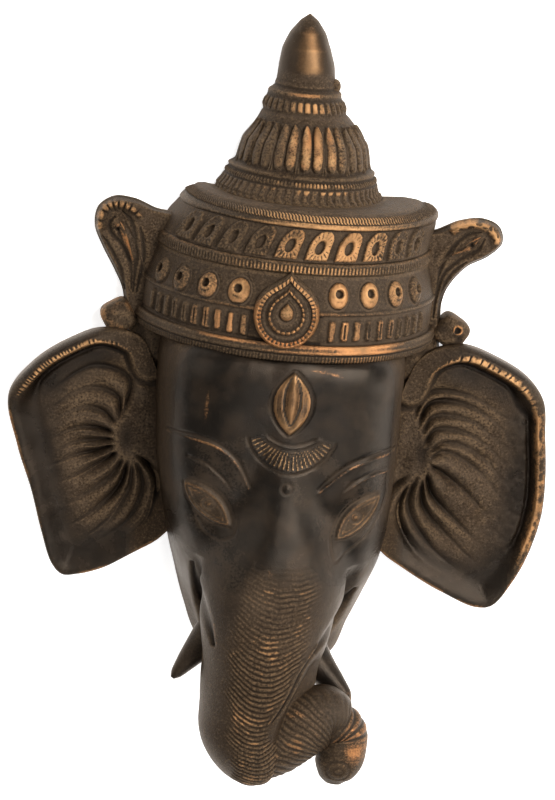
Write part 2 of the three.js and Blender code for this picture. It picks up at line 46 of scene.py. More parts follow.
# The crown's outside and the cavity inside it: radius, y
CROWN_BASE = [
    (43, -1), (56, -1), (60, -0.2), (61, 3), (60.2, 6.2), (58.8, 6.8), (58.6, 18), (59.3, 18.8),
    (58.6, 19.6), (54.8, 33),
]
CROWN_BASE_INSIDE = [(50.3, 33), (54.6, 19), (56.6, 3), (43, 3)]
CROWN_BAND = [
    (54.8, 33), (55.8, 33.6), (55.2, 36.8), (53.6, 37.6), (49.8, 50), (50.6, 50.6), (49.4, 53),
    (47.8, 54), (46, 54.5), (44.4, 55.6), (40, 56.2), (36.4, 55.8), (33.6, 55.6),
]
CROWN_BAND_INSIDE = [(29, 53), (44.2, 50), (49.6, 35), (50.3, 33)]
CROWN_TOP = [
    (33.6, 55.6), (31, 60), (30.6, 62.2), (29, 64), (28.9, 66), (26.8, 67.4), (26, 72), (24.8, 76.5),
    (20.4, 82.6), (17.6, 86.7), (16.3, 90), (15, 93.4), (13, 97), (11.7, 100), (11, 106.4),
    (9.6, 112.8), (6.9, 119.1), (3.4, 123.9), (0.05, 126.4),
]
CROWN_TOP_INSIDE = [(0.05, 87), (12, 85), (20, 77), (25, 64), (29, 53)]
CROWN_FLATNESS = 0.96
# How far the crown leans to the right: y, shift
CROWN_SWAY = [
    (-1, 0), (36, 1), (44, 3), (49, 5.2), (54, 6), (55.4, 1), (62, 1.3), (76, 1.6), (84, 1.3),
    (90, 0.1), (103, -0.2), (114, -1), (127, -1),
]
# On the flat disc between the tiers: radius, shift
DISC_SWAY = [(33.6, 1), (47.8, 6)]
DISC_LEVEL = 53.2
PENDANT_ANGLE = -5.0

# Head: y, half width, x of the middle, front z, z of the widest line, back z, squareness
HEAD = [
    (-134, 16, 2.6, 42, 34, 28, 2.4), (-126, 28, 2.6, 44, 20, 6, 2.5),
    (-114, 34.2, 2.5, 48, 6, -4, 2.7), (-101, 39, 2.9, 51.5, 0, -5, 2.9),
    (-88, 43, 3, 54.5, 0, -5, 3.2), (-70, 46, 2, 57, 0, -5, 3.6), (-48, 48, 0, 58, 0, -5, 3.9),
    (-20, 49, -1, 57, 0, -5, 3.9), (-3, 48.5, -0.6, 55.6, 0, -5, 3.6), (6, 44, 0, 46, 0, -5, 3.2),
]
# Trunk: y, half width, x of the middle, top z, z of the widest line, back z
TRUNK = [
    (-172, 16, -2, 82, 63, 46), (-150, 17, -7.6, 83, 62, 42), (-140, 20.6, -4.2, 83, 59, 34),
    (-132, 22.8, -2.2, 82, 56, 29), (-124, 23.5, -1.6, 80.5, 52, 24), (-112, 26, -0.8, 77.5, 47, 18),
    (-100, 29, -0.2, 74.5, 43, 14), (-88, 30, 0.3, 71.5, 41, 12), (-76, 26, 0.6, 68.5, 40, 12),
    (-62, 18, 1, 64.5, 38, 14), (-46, 12, 1, 59, 34, 16), (-26, 8, 1, 50, 30, 20),
]
TRUNK_SQUARENESS = 2.2
TRUNK_CAP_START = -150
TRUNK_END = -172
# The line inside head and trunk that sections are measured from: y, z
SPINE = [(-173, 61), (-150, 61), (-136, 56), (-124, 43), (-112, 31), (-96, 24), (14, 20)]
# The fold between trunk and cheek: y, angle above the spine in degrees, depth
CHEEK_FOLD = [(-130, 16, 0), (-120, 21, 5), (-108, 29, 7), (-98, 35, 6.5), (-90, 39, 4), (-83, 42, 0)]
CHEEK_FOLD_WIDTH = 4.6
# The crease between the trunk's front and the recess above its curl: y, x, share of height lost
TRUNK_CREASE = [
    (-154, 2.5, 0), (-148, 2.5, 0.13), (-141, 3.5, 0.32), (-134, 6.5, 0.4), (-127, 10, 0.32),
    (-121, 13, 0.19), (-117, 15, 0.06), (-112, 20, 0),
]
CREASE_SLOPE = 4.0
SOCKET = (15, 10, 2.6)
HEAD_TOP = 5.0
CAVITY_END = -116.0
WALL = 4.0

# Each ear's outline, from above its root round the free edge, and the creases between its folds.
# ridge: the rim's ridge from the edge; band: half width of its gold; tick: gap between notches;
# bite: how far they spread; side: -1 on the left, 1 on the right
EAR_LEFT = {
    "ridge": 3.8,
    "band": 1.5,
    "tick": 1.6,
    "bite": 1,
    "side": -1,
    "root": (-60, -47),
    "top": [(-52, -14), (-58, -5), (-72.8, -2.7), (-85.9, -8.2), (-99, -18.1), (-108.1, -32.3)],
    "edge": [(-103.3, -53.1), (-96.4, -71.5), (-91.2, -88.5), (-85.9, -102.2), (-81.5, -106.3)],
    "bottom": [(-75, -105.8), (-65.2, -102.4), (-54, -95.5), (-43, -88), (-38, -80)],
    "inner": [(-41.5, -62), (-44, -46), (-46.5, -30)],
    "creases": [
        [(-62.6, -40), (-60.6, -24), (-75, -19), (-97, -35)],
        [(-63, -40.5), (-65, -31), (-77, -28.6), (-95, -40)],
        [(-64, -42.5), (-70, -37.5), (-78, -36.6), (-93, -45)],
        [(-64.5, -45.5), (-71, -44.6), (-79, -45), (-92, -51)],
        [(-64, -48), (-71, -49.5), (-79, -51), (-91, -57)],
        [(-63.6, -50), (-72, -54.6), (-80, -57), (-93, -63)],
        [(-62.6, -52.5), (-68, -58), (-77, -64), (-88, -69)],
        [(-60.6, -54.5), (-64.4, -63.5), (-73, -71.5), (-86, -79)],
        [(-58.6, -55.5), (-61, -68), (-69.5, -78.5), (-82, -87)],
        [(-57, -56.5), (-57, -69), (-63.6, -82), (-77, -93)],
        [(-56, -55.5), (-51.6, -68), (-56.6, -82.5), (-73, -95)],
        [(-57, -52), (-45.8, -65), (-48.8, -81), (-68, -97)],
    ],
}
EAR_RIGHT = {
    "ridge": 4.8,
    "band": 2.3,
    "tick": 2.9,
    "bite": 3,
    "side": 1,
    "root": (60, -46),
    "top": [(50.5, -16), (55, -6), (62, -1.1), (72.3, 0.9), (86.6, -3.5), (99.7, -10.8), (107, -20)],
    "edge": [(109.6, -36), (111.6, -52), (111.8, -68), (108.6, -84), (103, -98), (95.7, -108.4)],
    "bottom": [(89.2, -109.5), (73.6, -103.6), (58, -95.2), (46.9, -87.6), (42, -79)],
    "inner": [(43.5, -62), (45, -46), (46.5, -31)],
    "creases": [
        [(55, -33), (60, -21.5), (75, -20.5), (99.5, -32)],
        [(57, -36), (62, -25.5), (77, -25), (99, -38)],
        [(59, -39), (63.4, -30.6), (77.5, -31), (99, -46)],
        [(60, -43), (65, -35.6), (78.5, -37), (98.5, -51)],
        [(62, -45), (70, -40.5), (83, -45), (99, -59)],
        [(62, -48), (69.5, -44.6), (84, -52), (98, -66.5)],
        [(62.6, -49.5), (70, -54), (81, -62.5), (92, -73)],
        [(62.2, -52.5), (66, -63), (76, -73), (91, -85)],
        [(61, -54.5), (63.4, -69), (74, -80.5), (89.5, -92.5)],
        [(59, -54), (57, -69), (67, -84.5), (83, -97)],
        [(56.6, -57), (53.4, -73.5), (61.4, -88), (78, -99)],
        [(57, -52.5), (46.8, -68.5), (50.6, -84), (70, -100)],
    ],
}
EAR_EDGE_Z, EAR_DISH_Z, EAR_ROOT_Z = 16.0, 11.5, 15.5
EAR_TOP_RIM_Z, EAR_SIDE_RIM_Z = 20.0, 17.0
EAR_THICKNESS = 3.6
CREASE_DEPTH = 2.3

# Each leaf's rim is rolled and lobed, with the lobes that far apart, or plain where lobe is 0
LEAF_LEFT = {
    "outline": [
        (-50, -8), (-62, -7), (-64.4, 3.5), (-66.2, 12.6), (-70.1, 20.3), (-75.3, 29), (-79, 37.5),
        (-78, 45), (-72, 49.4), (-64, 49), (-56, 46), (-44, 42),
    ],
    "middle": [(-54, 0), (-56, 14), (-60, 26), (-65, 36), (-68, 41)],
    "rim": [
        (-76, 33.4), (-77.2, 39.2), (-75.5, 44.4), (-73.2, 46.2), (-70.4, 46.8), (-67.1, 46.2),
        (-64, 44.8), (-59, 40.6),
    ],
    "lobe": 3.2,
    "head": (-70, 38.2),
    "hole": (-69.8, 36.8),
    "tail": [(-69.2, 37), (-67.1, 33.8), (-65.3, 30.4), (-63.1, 25)],
    "shine": [(-69, 39.7), (-67.6, 37.5), (-66.1, 33.8), (-63.7, 26.9)],
    "grooves": [
        [
            (-71.4, 41.5), (-73.4, 38.8), (-72.3, 34.9), (-68.6, 31.4), (-65.8, 27.3), (-63.2, 21),
            (-62.6, 13),
        ],
        [(-68.6, 44), (-64.9, 40.5), (-62.4, 33.1), (-61.4, 27.1), (-61.8, 21), (-61.9, 12)],
        [(-61, 38), (-59.6, 32.3), (-58.7, 26.9), (-59.2, 21.3), (-60.4, 12)],
        [(-75.6, 33.4), (-71.4, 27.6), (-67.6, 20.6), (-65, 12.6)],
    ],
}
LEAF_RIGHT = {
    "outline": [
        (50, -6), (62, -5), (62.4, 6), (62.3, 16.3), (64.5, 23.5), (71, 31.5), (79, 36.4), (84, 42),
        (82.4, 48.4), (75.4, 51.4), (66, 50), (57, 45.5), (45, 42),
    ],
    "middle": [(54, 2), (55, 16), (58, 28), (65, 38), (73, 43.5)],
    "rim": [
        (61.8, 44.9), (63.7, 46.4), (66.1, 47.8), (68.9, 48.8), (73, 49.1), (76.1, 48.4), (79.1, 46.4),
        (80.8, 43.8), (80.2, 40.4),
    ],
    "lobe": 0,
    "head": (73.3, 43.2),
    "hole": (71.5, 40.6),
    "tail": [(73.5, 43), (72, 40.8), (70, 39.4), (67.6, 38.2), (63.6, 36.4)],
    "shine": [(74.4, 44.4), (72.6, 43.4), (70, 41.4), (66, 39)],
    "grooves": [
        [(74.5, 46.2), (70, 45), (67.2, 42.9), (64.4, 39.8), (62, 35.6), (60, 30.1), (59.4, 22)],
        [(76.4, 43.4), (74.2, 39), (69, 35.6), (64.8, 32), (61.3, 27.7), (59.6, 20), (59, 10)],
        [(70, 33.6), (66, 30), (63, 25.6), (61.4, 19), (61, 10)],
    ],
}
LEAF_Z = 3.5
LEAF_TOP_Z = 10.5

# The trunk's end from inside the elbow: x, y, z, radius
CURL = [
    (-3, -157.6, 61, 14.4), (7, -153.4, 63, 13.4), (17, -145.6, 62, 13.4), (25.5, -142.8, 60, 11.8),
    (31, -145.6, 59.5, 9.6),
]
CURL_END = [
    (28, -145, 61, 9), (33, -149.6, 60, 9.5), (33.4, -157, 61, 9.9), (32, -163.4, 62, 9),
    (31.2, -168, 62.5, 6.4), (31, -170.6, 63, 3),
]
TUSK_LEFT = [
    (-17, -114, 36, 8), (-23.6, -122.6, 39, 6.4), (-29.8, -130, 42, 4.2), (-34, -135.2, 43.8, 2.3),
    (-35.4, -137, 44.4, 0.8),
]
TUSK_RIGHT = [
    (15, -118, 38, 9), (21.4, -126.8, 43, 7.2), (28.4, -133, 48, 5), (33.8, -137.4, 51.6, 2.9),
    (35.6, -139.4, 52.8, 1),
]

# Brows and the thin folds below them: line, width
BROWS = [
    ([(-45.5, -33.8), (-37.4, -33.3), (-27.5, -35), (-19.2, -40.5), (-12.7, -51.3)], 0.9),
    ([(-38, -42), (-31, -43.5), (-24.5, -48), (-20.5, -52)], 0.5),
    ([(44.5, -35.7), (35.5, -36.7), (26, -40.2), (18.7, -46.1), (14, -50.9)], 1.2),
    ([(43, -43), (36, -43.6), (29, -46.6), (24.4, -50.4)], 0.5),
]
# Red-brown stains where the lacquer has worn thin: line, width
STAINS = [([(-32, -15), (-32, -28)], 1.5), ([(7, -3.6), (14, -4.4), (22, -6)], 1.3)]
# Eyes: x, y, tilt in degrees
EYES = [(-28.2, -60.2, -40), (30.8, -61.8, 48)]
EYE_HALF_LENGTH = 12.5
# The folds below the eyes
FOLD_LEFT = [(-38, -53), (-32.5, -66.6), (-28.1, -72.5), (-22.4, -74.2), (-17.5, -71), (-16.2, -64.3)]
FOLD_RIGHT = [
    (42.2, -45.9), (42, -59.5), (35.2, -70.3), (27.8, -76.2), (23.1, -79.4), (20.5, -71.3), (21.7, -62.9),
]
# Middles of the forehead's marks
CRESCENT = (1.8, -26.5)
CRESCENT_INNER_Y = -17.0
FLAME = (0.5, -17)
FLAME_HALF_HEIGHT = 12.8
FOREHEAD_DOT = (1.3, -50.2)

# Borders of the ringed front of the trunk: y, left, right, lowest point of a ring, bend of its ends
RINGED = [
    (-172, -8, 34, 2, 7), (-165, -9, 24, 0, 8), (-158, -10, 10, -2, 9), (-148, -13, 2, -3.6, 9),
    (-139, -14.7, 0, -3.4, 8.5), (-128, -15, 6, -2.6, 7.5), (-114, -15.9, 11, -1.3, 5.5),
    (-96, -14.4, 15, 2.8, 3.6), (-86, -12, 16, 4.2, 2.6), (-76, -11, 14.6, 4.2, 2.2),
]
RING_PITCH = 2.0
# The folds between trunk and cheeks, and the crease with its lip that runs down from the right one; folds
# and crease get painted shade
SLIT_LEFT = [(-31.6, -88), (-30.2, -94), (-27.4, -101), (-24.4, -108), (-22.4, -114)]
SLIT_RIGHT = [(34.5, -95.5), (30.5, -100.5), (26, -105), (21.5, -109.5), (18, -113.5)]
SLIT_CREASE = [(20, -110), (15.5, -115.4), (12.1, -120), (9.4, -126), (5.6, -133), (2, -139)]
SLIT_LIP = [(18.4, -110.4), (13.9, -116), (10.5, -120.6), (7.8, -126.6), (4, -133.6), (0.4, -139.6)]
SLIT_COPPER = [(-25, -100), (-22.4, -107), (-20.8, -113)]

# Lumps: name, middle, radii, squareness (lower is squarer), turn in degrees, copper, place of a cast ring
LUMPS = [
    ("bud_left", (-66.8, 1.2, 7), (6.4, 6.2, 6.2), 0.52, 32, 0.3, None),
    ("bud_right", (67.2, 4.6, 7), (6.6, 6.4, 6.2), 0.52, -32, 0.2, (69.1, 6.3)),
    ("web_left", (-53, -9, 2), (11, 16, 12.5), 1, 0, 0, None),
    ("web_right", (53.5, -8, 2), (11, 16, 12.5), 1, 0, 0, None),
    ("lug", (11.2, 98.8, 2.6), (2.4, 3, 2.4), 1, 0, 0, None),
]

# The crown's bars, bosses, niches and petals: angles in degrees, radii they are measured on, heights
BAR_STEP, BAR_RADIUS, BARS_A_SIDE = 5.2, 58.7, 10
FIRST_BAR_LEFT, FIRST_BAR_RIGHT = 15.8, 17.6
BOSS_ANGLES = np.array([-60, -46.5, -33, -19.5, 19.5, 33, 46.5, 60.0])
BOSS_RADIUS = 57.2
BOSS_Y_LEFT, BOSS_Y_RIGHT = 24.4, 25.6
NICHE_STEP, NICHE_SHIFT, NICHE_RADIUS, NICHE_Y = 12.6, 2.7, 51.7, 44.0
PETAL_STEP, PETAL_SHIFT, PETAL_SPREAD, PETAL_Y = 23, 2, 5.1, 75.8
PETAL_HALF_HEIGHT = 8.2

# Colours of the finish
LACQUER_BLACK = (0.0090, 0.0075, 0.0062)
LACQUER_BROWN = (0.019, 0.0135, 0.0095)
BROWN = (0.034, 0.021, 0.0115)
DUST = (0.070, 0.048, 0.031)
RUBBED = (0.140, 0.091, 0.050)
# Near black of pits and grooves, also used for painted shade
GROOVE = (0.0055, 0.0034, 0.0022)
COPPER = (0.34, 0.145, 0.056)
GOLD = (0.53, 0.32, 0.15)
BRONZE = (0.165, 0.094, 0.045)
SPECK = (0.42, 0.36, 0.28)

# Camera as in the photo: from slightly above the finial's end and slightly from the left
PITCH, YAW, ROLL = 15.0, -6.0, 5.5
DISTANCE = 1100.0
AIM = np.array([-3.972, -19.114, 45.0])
LENS = 126.9

# Softboxes: name, place in metres, width and height, watts, colour
WARM, WHITE = (1.0, 0.94, 0.87), (1, 1, 1)
SOFTBOXES = [
    ("key", (0.50, 0.55, 0.95), (0.5, 0.5), 17, WARM),
    ("right_strip", (1.0, -0.15, 0.45), (0.25, 0.9), 6, WARM),
    ("sheen", (0.30, 0.36, 1.2), (0.14, 0.30), 2.4, WHITE),
    ("glint", (0.29, -0.30, 1.2), (0.09, 0.2), 2.6, WHITE),
    ("left_fill", (-0.9, 0.35, 0.6), (0.6, 0.6), 3, WARM),
    ("low_fill", (-0.1, -0.9, 0.8), (0.6, 0.3), 3, WHITE),
]
LIT_POINT = (0, 0, 0.03)
WORLD_STRENGTH = 0.22
FLOOR_REACH = 6.0
FLOOR_GLOW = 0.68

# Large uneven numbers that turn whole numbers into noise
HASH = (127.1, 311.7, 74.7)
HASH_SCATTER = (12.9898, 78.233)
HASH_SPREAD = 43758.5453


def along(stations, t):
    """The columns of a table at t, smooth between its stations."""
    table = np.array(stations, float)
    knots, values = table[:, 0], table[:, 1:]
    last = len(knots) - 1
    before = np.maximum(np.arange(last + 1) - 1, 0)
    after = np.minimum(np.arange(last + 1) + 1, last)
    slopes = (values[after] - values[before]) / (knots[after] - knots[before])[:, None]
    x = np.clip(np.asarray(t, float), knots[0], knots[-1])
    i = np.clip(np.searchsorted(knots, x, side="right") - 1, 0, last - 1)
    span = (knots[i + 1] - knots[i])[..., None]
    u = (x - knots[i])[..., None] / span
    blend = (
        values[i] * (2 * u**3 - 3 * u**2 + 1)
        + slopes[i] * span * (u**3 - 2 * u**2 + u)
        + values[i + 1] * (3 * u**2 - 2 * u**3)
        + slopes[i + 1] * span * (u**3 - u**2)
    )
    return np.moveaxis(blend, -1, 0)


def step(low, high, x):
    """0 below low, 1 above high, smooth between."""
    u = np.clip((x - low) / (high - low), 0, 1)
    return u * u * (3 - 2 * u)


def bump(x, middle, half_width):
    """A rounded ridge of height 1."""
    return np.exp(-(((x - middle) / half_width) ** 2))


def plateau(x, low, high, edge):
    """1 between low and high, with soft edges."""
    return step(low - edge, low + edge, x) * (1 - step(high - edge, high + edge, x))


def towards_front(phi, middle, half_width):
    """1 near the front, where the crown has been rubbed, 0 at its sides."""
    return bump(phi, middle, half_width)


def ticks(distance, pitch):
    """Rounded beads of height 1 at that pitch, with narrow gaps of 0 between them."""
    return np.abs(np.cos(np.pi * distance / pitch)) ** 0.7


def scatter(n, seed):
    """A repeatable number from 0 to 1 for every whole number n."""
    key = np.asarray(n, float) * HASH_SCATTER[0] + seed * HASH_SCATTER[1]
    return np.mod(np.sin(key) * HASH_SPREAD, 1.0)


def lumps(points, size, seed=0):
    """Smooth noise from -1 to 1 with features of about that size."""
    p = points / size + seed * 17.3
    cell = np.floor(p)
    f = p - cell
    f = f * f * (3 - 2 * f)
    total = 0.0
    for corner in np.ndindex(2, 2, 2):
        place = cell + corner
        key = place[..., 0] * HASH[0] + place[..., 1] * HASH[1] + place[..., 2] * HASH[2]
        weight = np.prod(np.where(corner, f, 1 - f), axis=-1)
        total = total + weight * np.mod(np.sin(key) * HASH_SPREAD, 1.0)
    return total * 2 - 1


def unrolled(across, y):
    """Flat points for noise on an unrolled surface."""
    return np.stack([across, y, 0 * across], axis=-1)


def spline(points, count, closed=False):
    """Points on a smooth curve through the given ones, spread evenly over its stretches."""
    p = np.array(points, float)
    n = len(p)
    t = np.linspace(0, 1, count, endpoint=not closed) * (n if closed else n - 1)
    i = np.minimum(t.astype(int), n - 1 if closed else n - 2)
    u = (t - i)[:, None]
    if closed:
        a, b, c, d = (p[(i + k) % n] for k in (-1, 0, 1, 2))
    else:
        padded = np.vstack([2 * p[0] - p[1], p, 2 * p[-1] - p[-2]])
        a, b, c, d = (padded[i + k] for k in (0, 1, 2, 3))

    def gap(q, r):
        return np.maximum(np.linalg.norm(q - r, axis=1), 1e-6)[:, None] ** 0.5

    g0, g1, g2 = gap(b, a), gap(c, b), gap(d, c)
    start = ((b - a) / g0 - (c - a) / (g0 + g1) + (c - b) / g1) * g1
    end = ((c - b) / g1 - (d - b) / (g1 + g2) + (d - c) / g2) * g1
    return b + start * u + (3 * (c - b) - 2 * start - end) * u**2 + (2 * (b - c) + start + end) * u**3


def evenly(points, count, closed=False):
    """The same polyline with count points at even distances."""
    p = np.array(points, float)
    if closed:
        p = np.vstack([p, p[:1]])
    travel = np.concatenate([[0], np.cumsum(np.linalg.norm(np.diff(p, axis=0), axis=1))])
    goal = np.linspace(0, travel[-1], count, endpoint=not closed)
    return np.stack([np.interp(goal, travel, p[:, k]) for k in range(p.shape[1])], axis=1)


def spot(points, middle, radius):
    """1 at the middle of a round spot seen from the front, fading to 0 outside it."""
    away = np.hypot(points[..., 0] - middle[0], points[..., 1] - middle[1])
    return np.exp(-((away / radius) ** 2) * 1.5)


def follow(x, y, points):
    """How far every point lies from a drawn line, and at which share of the line it is nearest."""
    curve = spline(points, 12 * len(points))
    nearest = np.full(np.shape(x), 1e9)
    share = np.zeros(np.shape(x))
    for k, ((ax, ay), (bx, by)) in enumerate(zip(curve[:-1], curve[1:])):
        length = max((bx - ax) ** 2 + (by - ay) ** 2, 1e-9)
        s = np.clip(((x - ax) * (bx - ax) + (y - ay) * (by - ay)) / length, 0, 1)
        away = np.hypot(x - ax - s * (bx - ax), y - ay - s * (by - ay))
        closer = away < nearest
        nearest = np.where(closer, away, nearest)
        share = np.where(closer, (k + s) / (len(curve) - 1), share)
    return nearest, share


def stroke(x, y, points, width, taper=0.25, fade=0.0, rise=0.0):
    """1 on a drawn line, fading to 0 at its width. Its ends taper, and can rise and fade."""
    nearest, share = follow(x, y, points)
    local = width * (0.35 + 0.65 * step(0, taper, share) * step(0, taper, 1 - share))
    drawn = np.exp(-((nearest / local) ** 2) * 1.4)
    if rise:
        drawn = drawn * step(0, rise, share)
    return drawn * step(0, fade, 1 - share) if fade else drawn


def normals_of(points, closed_columns):
    """Outward-ish unit normals of a grid of points."""
    down = np.gradient(points, axis=0)
    if closed_columns:
        across = (np.roll(points, -1, axis=1) - np.roll(points, 1, axis=1)) / 2
    else:
        across = np.gradient(points, axis=1)
    normal = np.cross(down, across)
    return normal / np.maximum(np.linalg.norm(normal, axis=-1, keepdims=True), 1e-9)


def build(name, points, faces, marks):
    """One smooth piece of the mask. marks holds a number per point for each named attribute."""
    mesh = bpy.data.meshes.new(name)
    flat = (points.reshape(-1, 3) + TO_PART) * MM
    mesh.from_pydata(flat.tolist(), [], faces)
    for key, values in marks.items():
        layer = mesh.attributes.new(key, "FLOAT", "POINT")
        values = np.broadcast_to(values, points.shape[:-1])
        layer.data.foreach_set("value", values.astype(np.float32).ravel())
    mesh.validate()
    mesh.update()
    piece = bpy.data.objects.new(name, mesh)
    bpy.context.collection.objects.link(piece)
    mesh.polygons.foreach_set("use_smooth", np.ones(len(mesh.polygons), bool))
    mesh.materials.append(BRASS)
    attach(piece, "root")
    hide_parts("mask")


def blurred(points, rows, columns):
    """Points averaged over a window of the grid, whose columns run in a circle."""
    wide = np.concatenate([points[:, -columns:], points, points[:, :columns]], axis=1)
    total = np.cumsum(np.concatenate([np.zeros_like(wide[:, :1]), wide], axis=1), axis=1)
    across = (total[:, 2 * columns + 1 :] - total[:, : -2 * columns - 1]) / (2 * columns + 1)
    tall = np.pad(across, ((rows, rows), (0, 0), (0, 0)), mode="edge")
    total = np.cumsum(np.concatenate([np.zeros_like(tall[:1]), tall]), axis=0)
    return (total[2 * rows + 1 :] - total[: -2 * rows - 1]) / (2 * rows + 1)


def edges_of(points, outwards, reach):
    """Above 0 on ridges and below 0 in grooves of about that reach in millimetres."""
    row_gap = np.median(np.linalg.norm(np.diff(points, axis=0), axis=-1))
    column_gap = np.median(np.linalg.norm(np.diff(points, axis=1), axis=-1))
    rows = int(np.clip(round(reach / max(row_gap, 0.05)), 1, 8))
    columns = int(np.clip(round(reach / max(column_gap, 0.05)), 1, 8))
    return ((points - blurred(points, rows, columns)) * outwards).sum(axis=-1)


def closed_loft(name, loops, marks):
    """A closed piece through loops of points: rows of a grid whose two ends are filled."""
    rows, columns = loops.shape[:2]
    across = np.roll(loops, -1, axis=1) - loops
    down = np.roll(loops, -1, axis=0) - loops
    volume = (loops[:-1] * np.cross(across[:-1], down[:-1])).sum()
    r, c = np.arange(rows - 1)[:, None], np.arange(columns)[None, :]
    c1 = (c + 1) % columns
    quads = [r * columns + c, r * columns + c1, (r + 1) * columns + c1, (r + 1) * columns + c]
    faces = np.stack(quads, axis=-1).reshape(-1, 4)
    ends = [list(range(columns))[::-1], list(range((rows - 1) * columns, rows * columns))]
    if volume < 0:
        faces = faces[:, ::-1]
        ends = [end[::-1] for end in ends]
    outwards = -normals_of(loops, True) * np.sign(volume)
    fine = edges_of(loops, outwards, 0.7) / 0.12
    broad = edges_of(loops, outwards, 1.8) / 0.45
    edge = np.clip(0.6 * fine + 0.6 * broad, -1, 1)
    build(name, loops, faces.tolist() + ends, {**marks, "edge": edge})


def behind(marks, shape, rows=0, columns=0):
    """The marks of a front, carried on over the rows and columns behind it as plain brown metal."""
    full = {}
    for key, values in marks.items():
        extra = ((0, rows), (0, columns))
        full[key] = np.pad(np.broadcast_to(values, shape), extra, constant_values=float(key == "brown"))
    return full


def patina():
    """Dark lacquered brass: dust in the recesses, bare copper and gold metal where it is rubbed."""
    material = bpy.data.materials.new("patina_brass")
    material.use_nodes = True
    nodes, links = material.node_tree.nodes, material.node_tree.links
    nodes.clear()

    def connect(value, socket):
        if isinstance(value, tuple):
            socket.default_value = (*value, 1)
        elif isinstance(value, (int, float)):
            socket.default_value = value
        else:
            links.new(value, socket)

    def read(name):
        made = nodes.new("ShaderNodeAttribute")
        made.attribute_name = name
        return made.outputs["Fac"]

    place = nodes.new("ShaderNodeTexCoord").outputs["Object"]

    def noise(scale, detail, roughness=0.6):
        made = nodes.new("ShaderNodeTexNoise")
        named = {"Scale": scale, "Detail": detail, "Roughness": roughness, "Vector": place}
        for name, value in named.items():
            connect(value, made.inputs[name])
        return made.outputs["Fac"]

    def calculate(operation, a, b, clamp=False):
        made = nodes.new("ShaderNodeMath")
        made.operation = operation
        made.use_clamp = clamp
        connect(a, made.inputs[0])
        connect(b, made.inputs[1])
        return made.outputs[0]

    def times(a, b, clamp=False):
        return calculate("MULTIPLY", a, b, clamp)

    def plus(a, b, clamp=False):
        return calculate("ADD", a, b, clamp)

    def minus(a, b):
        return calculate("SUBTRACT", a, b)

    def remap(value, low, high):
        made = nodes.new("ShaderNodeMapRange")
        made.interpolation_type = "SMOOTHSTEP"
        for number, name in ((value, "Value"), (low, "From Min"), (high, "From Max")):
            connect(number, made.inputs[name])
        return made.outputs["Result"]

    def mix(factor, a, b):
        made = nodes.new("ShaderNodeMix")
        made.data_type = "RGBA"
        for value, number in ((factor, 0), (a, 6), (b, 7)):
            connect(value, made.inputs[number])
        return made.outputs[2]

    def mix_number(factor, a, b):
        made = nodes.new("ShaderNodeMix")
        made.data_type = "FLOAT"
        for value, number in ((factor, 0), (a, 2), (b, 3)):
            connect(value, made.inputs[number])
        return made.outputs[0]

    fine = noise(1100, 4, 0.65)
    grain = noise(3200, 2)
    broad = noise(90, 5)
    calm = read("calm")
    unrest = minus(1.0, calm)
    spread = times(minus(fine, 0.5), unrest)
    ridge = remap(read("edge"), 0.02, 0.75)
    groove = remap(read("edge"), -0.02, -0.7)
    clean = minus(1.0, times(read("grime"), 0.85))
    # Painted shade: grooves are darkened towards GROOVE, less where dust lies, and so are the marked
    # folds, pits and holes
    shadowed = plus(times(times(groove, 0.85), clean), read("painted_shade"), clamp=True)

    # Lacquer, brown patina and dust, darker in the grooves with patina and painted shade, and a little
    # rubbed on the ridges
    lacquer = mix(remap(broad, 0.38, 0.66), LACQUER_BLACK, LACQUER_BROWN)
    brown = read("brown")
    patinated = mix(plus(brown, times(spread, brown), clamp=True), lacquer, BROWN)
    settled = plus(remap(plus(fine, broad), 0.75, 1.2), times(groove, 0.7))
    dust = times(read("grime"), settled, clamp=True)
    patinated = mix(dust, patinated, DUST)
    rubbed_brown = times(times(ridge, brown), remap(fine, 0.3, 0.7))
    patinated = mix(times(rubbed_brown, 0.75), patinated, RUBBED)
    grit = times(remap(fine, 0.53, 0.68), times(brown, unrest))
    patinated = mix(times(grit, 0.5), patinated, RUBBED)
    pits = times(remap(fine, 0.47, 0.33), times(brown, unrest))
    patinated = mix(times(pits, 0.6), patinated, GROOVE)
    ground = mix(shadowed, patinated, GROOVE)

    # Bare metal where the mark is high, first on the ridges, broken up by noise
    lift = times(minus(ridge, groove), 0.3)
    worn = plus(plus(read("wear"), lift), times(spread, 0.9))
    worn = plus(worn, times(times(minus(broad, 0.5), 0.8), unrest))
    bare = times(remap(worn, 0.35, 0.95), remap(read("wear"), 0.02, 0.25))
    metal = mix(read("hue"), COPPER, GOLD)
    metal = mix(plus(remap(broad, 0.45, 0.75), calm, clamp=True), metal, BRONZE)
    colour = mix(bare, ground, metal)
    # Pale specks of dried polish
    specks = times(remap(grain, 0.70, 0.76), plus(brown, 0.15, clamp=True))
    colour = mix(times(specks, 0.55), colour, SPECK)

    shader = nodes.new("ShaderNodeBsdfPrincipled")
    shader.inputs["Specular IOR Level"].default_value = 0.24
    shader.inputs["Specular Tint"].default_value = (1.0, 0.85, 0.71, 1)
    connect(colour, shader.inputs["Base Color"])
    dull = mix_number(brown, mix_number(broad, 0.12, 0.34), 0.58)
    dull = mix_number(dust, dull, 0.8)
    connect(mix_number(bare, dull, mix_number(calm, 0.34, 0.46)), shader.inputs["Roughness"])
    plain_metal = times(minus(1.0, dust), 0.35)
    connect(mix_number(bare, plain_metal, 0.95), shader.inputs["Metallic"])
    bumps = nodes.new("ShaderNodeBump")
    bumps.inputs["Strength"].default_value = 0.6
    bumps.inputs["Distance"].default_value = 0.0007
    rough_height = plus(times(fine, mix_number(brown, 0.25, 1.0)), grain)
    rough_height = times(rough_height, times(mix_number(brown, 0.25, 1.0), unrest))
    connect(rough_height, bumps.inputs["Height"])
    connect(bumps.outputs["Normal"], shader.inputs["Normal"])
    output = nodes.new("ShaderNodeOutputMaterial")
    connect(shader.outputs["BSDF"], output.inputs["Surface"])
    return material


BRASS = patina()


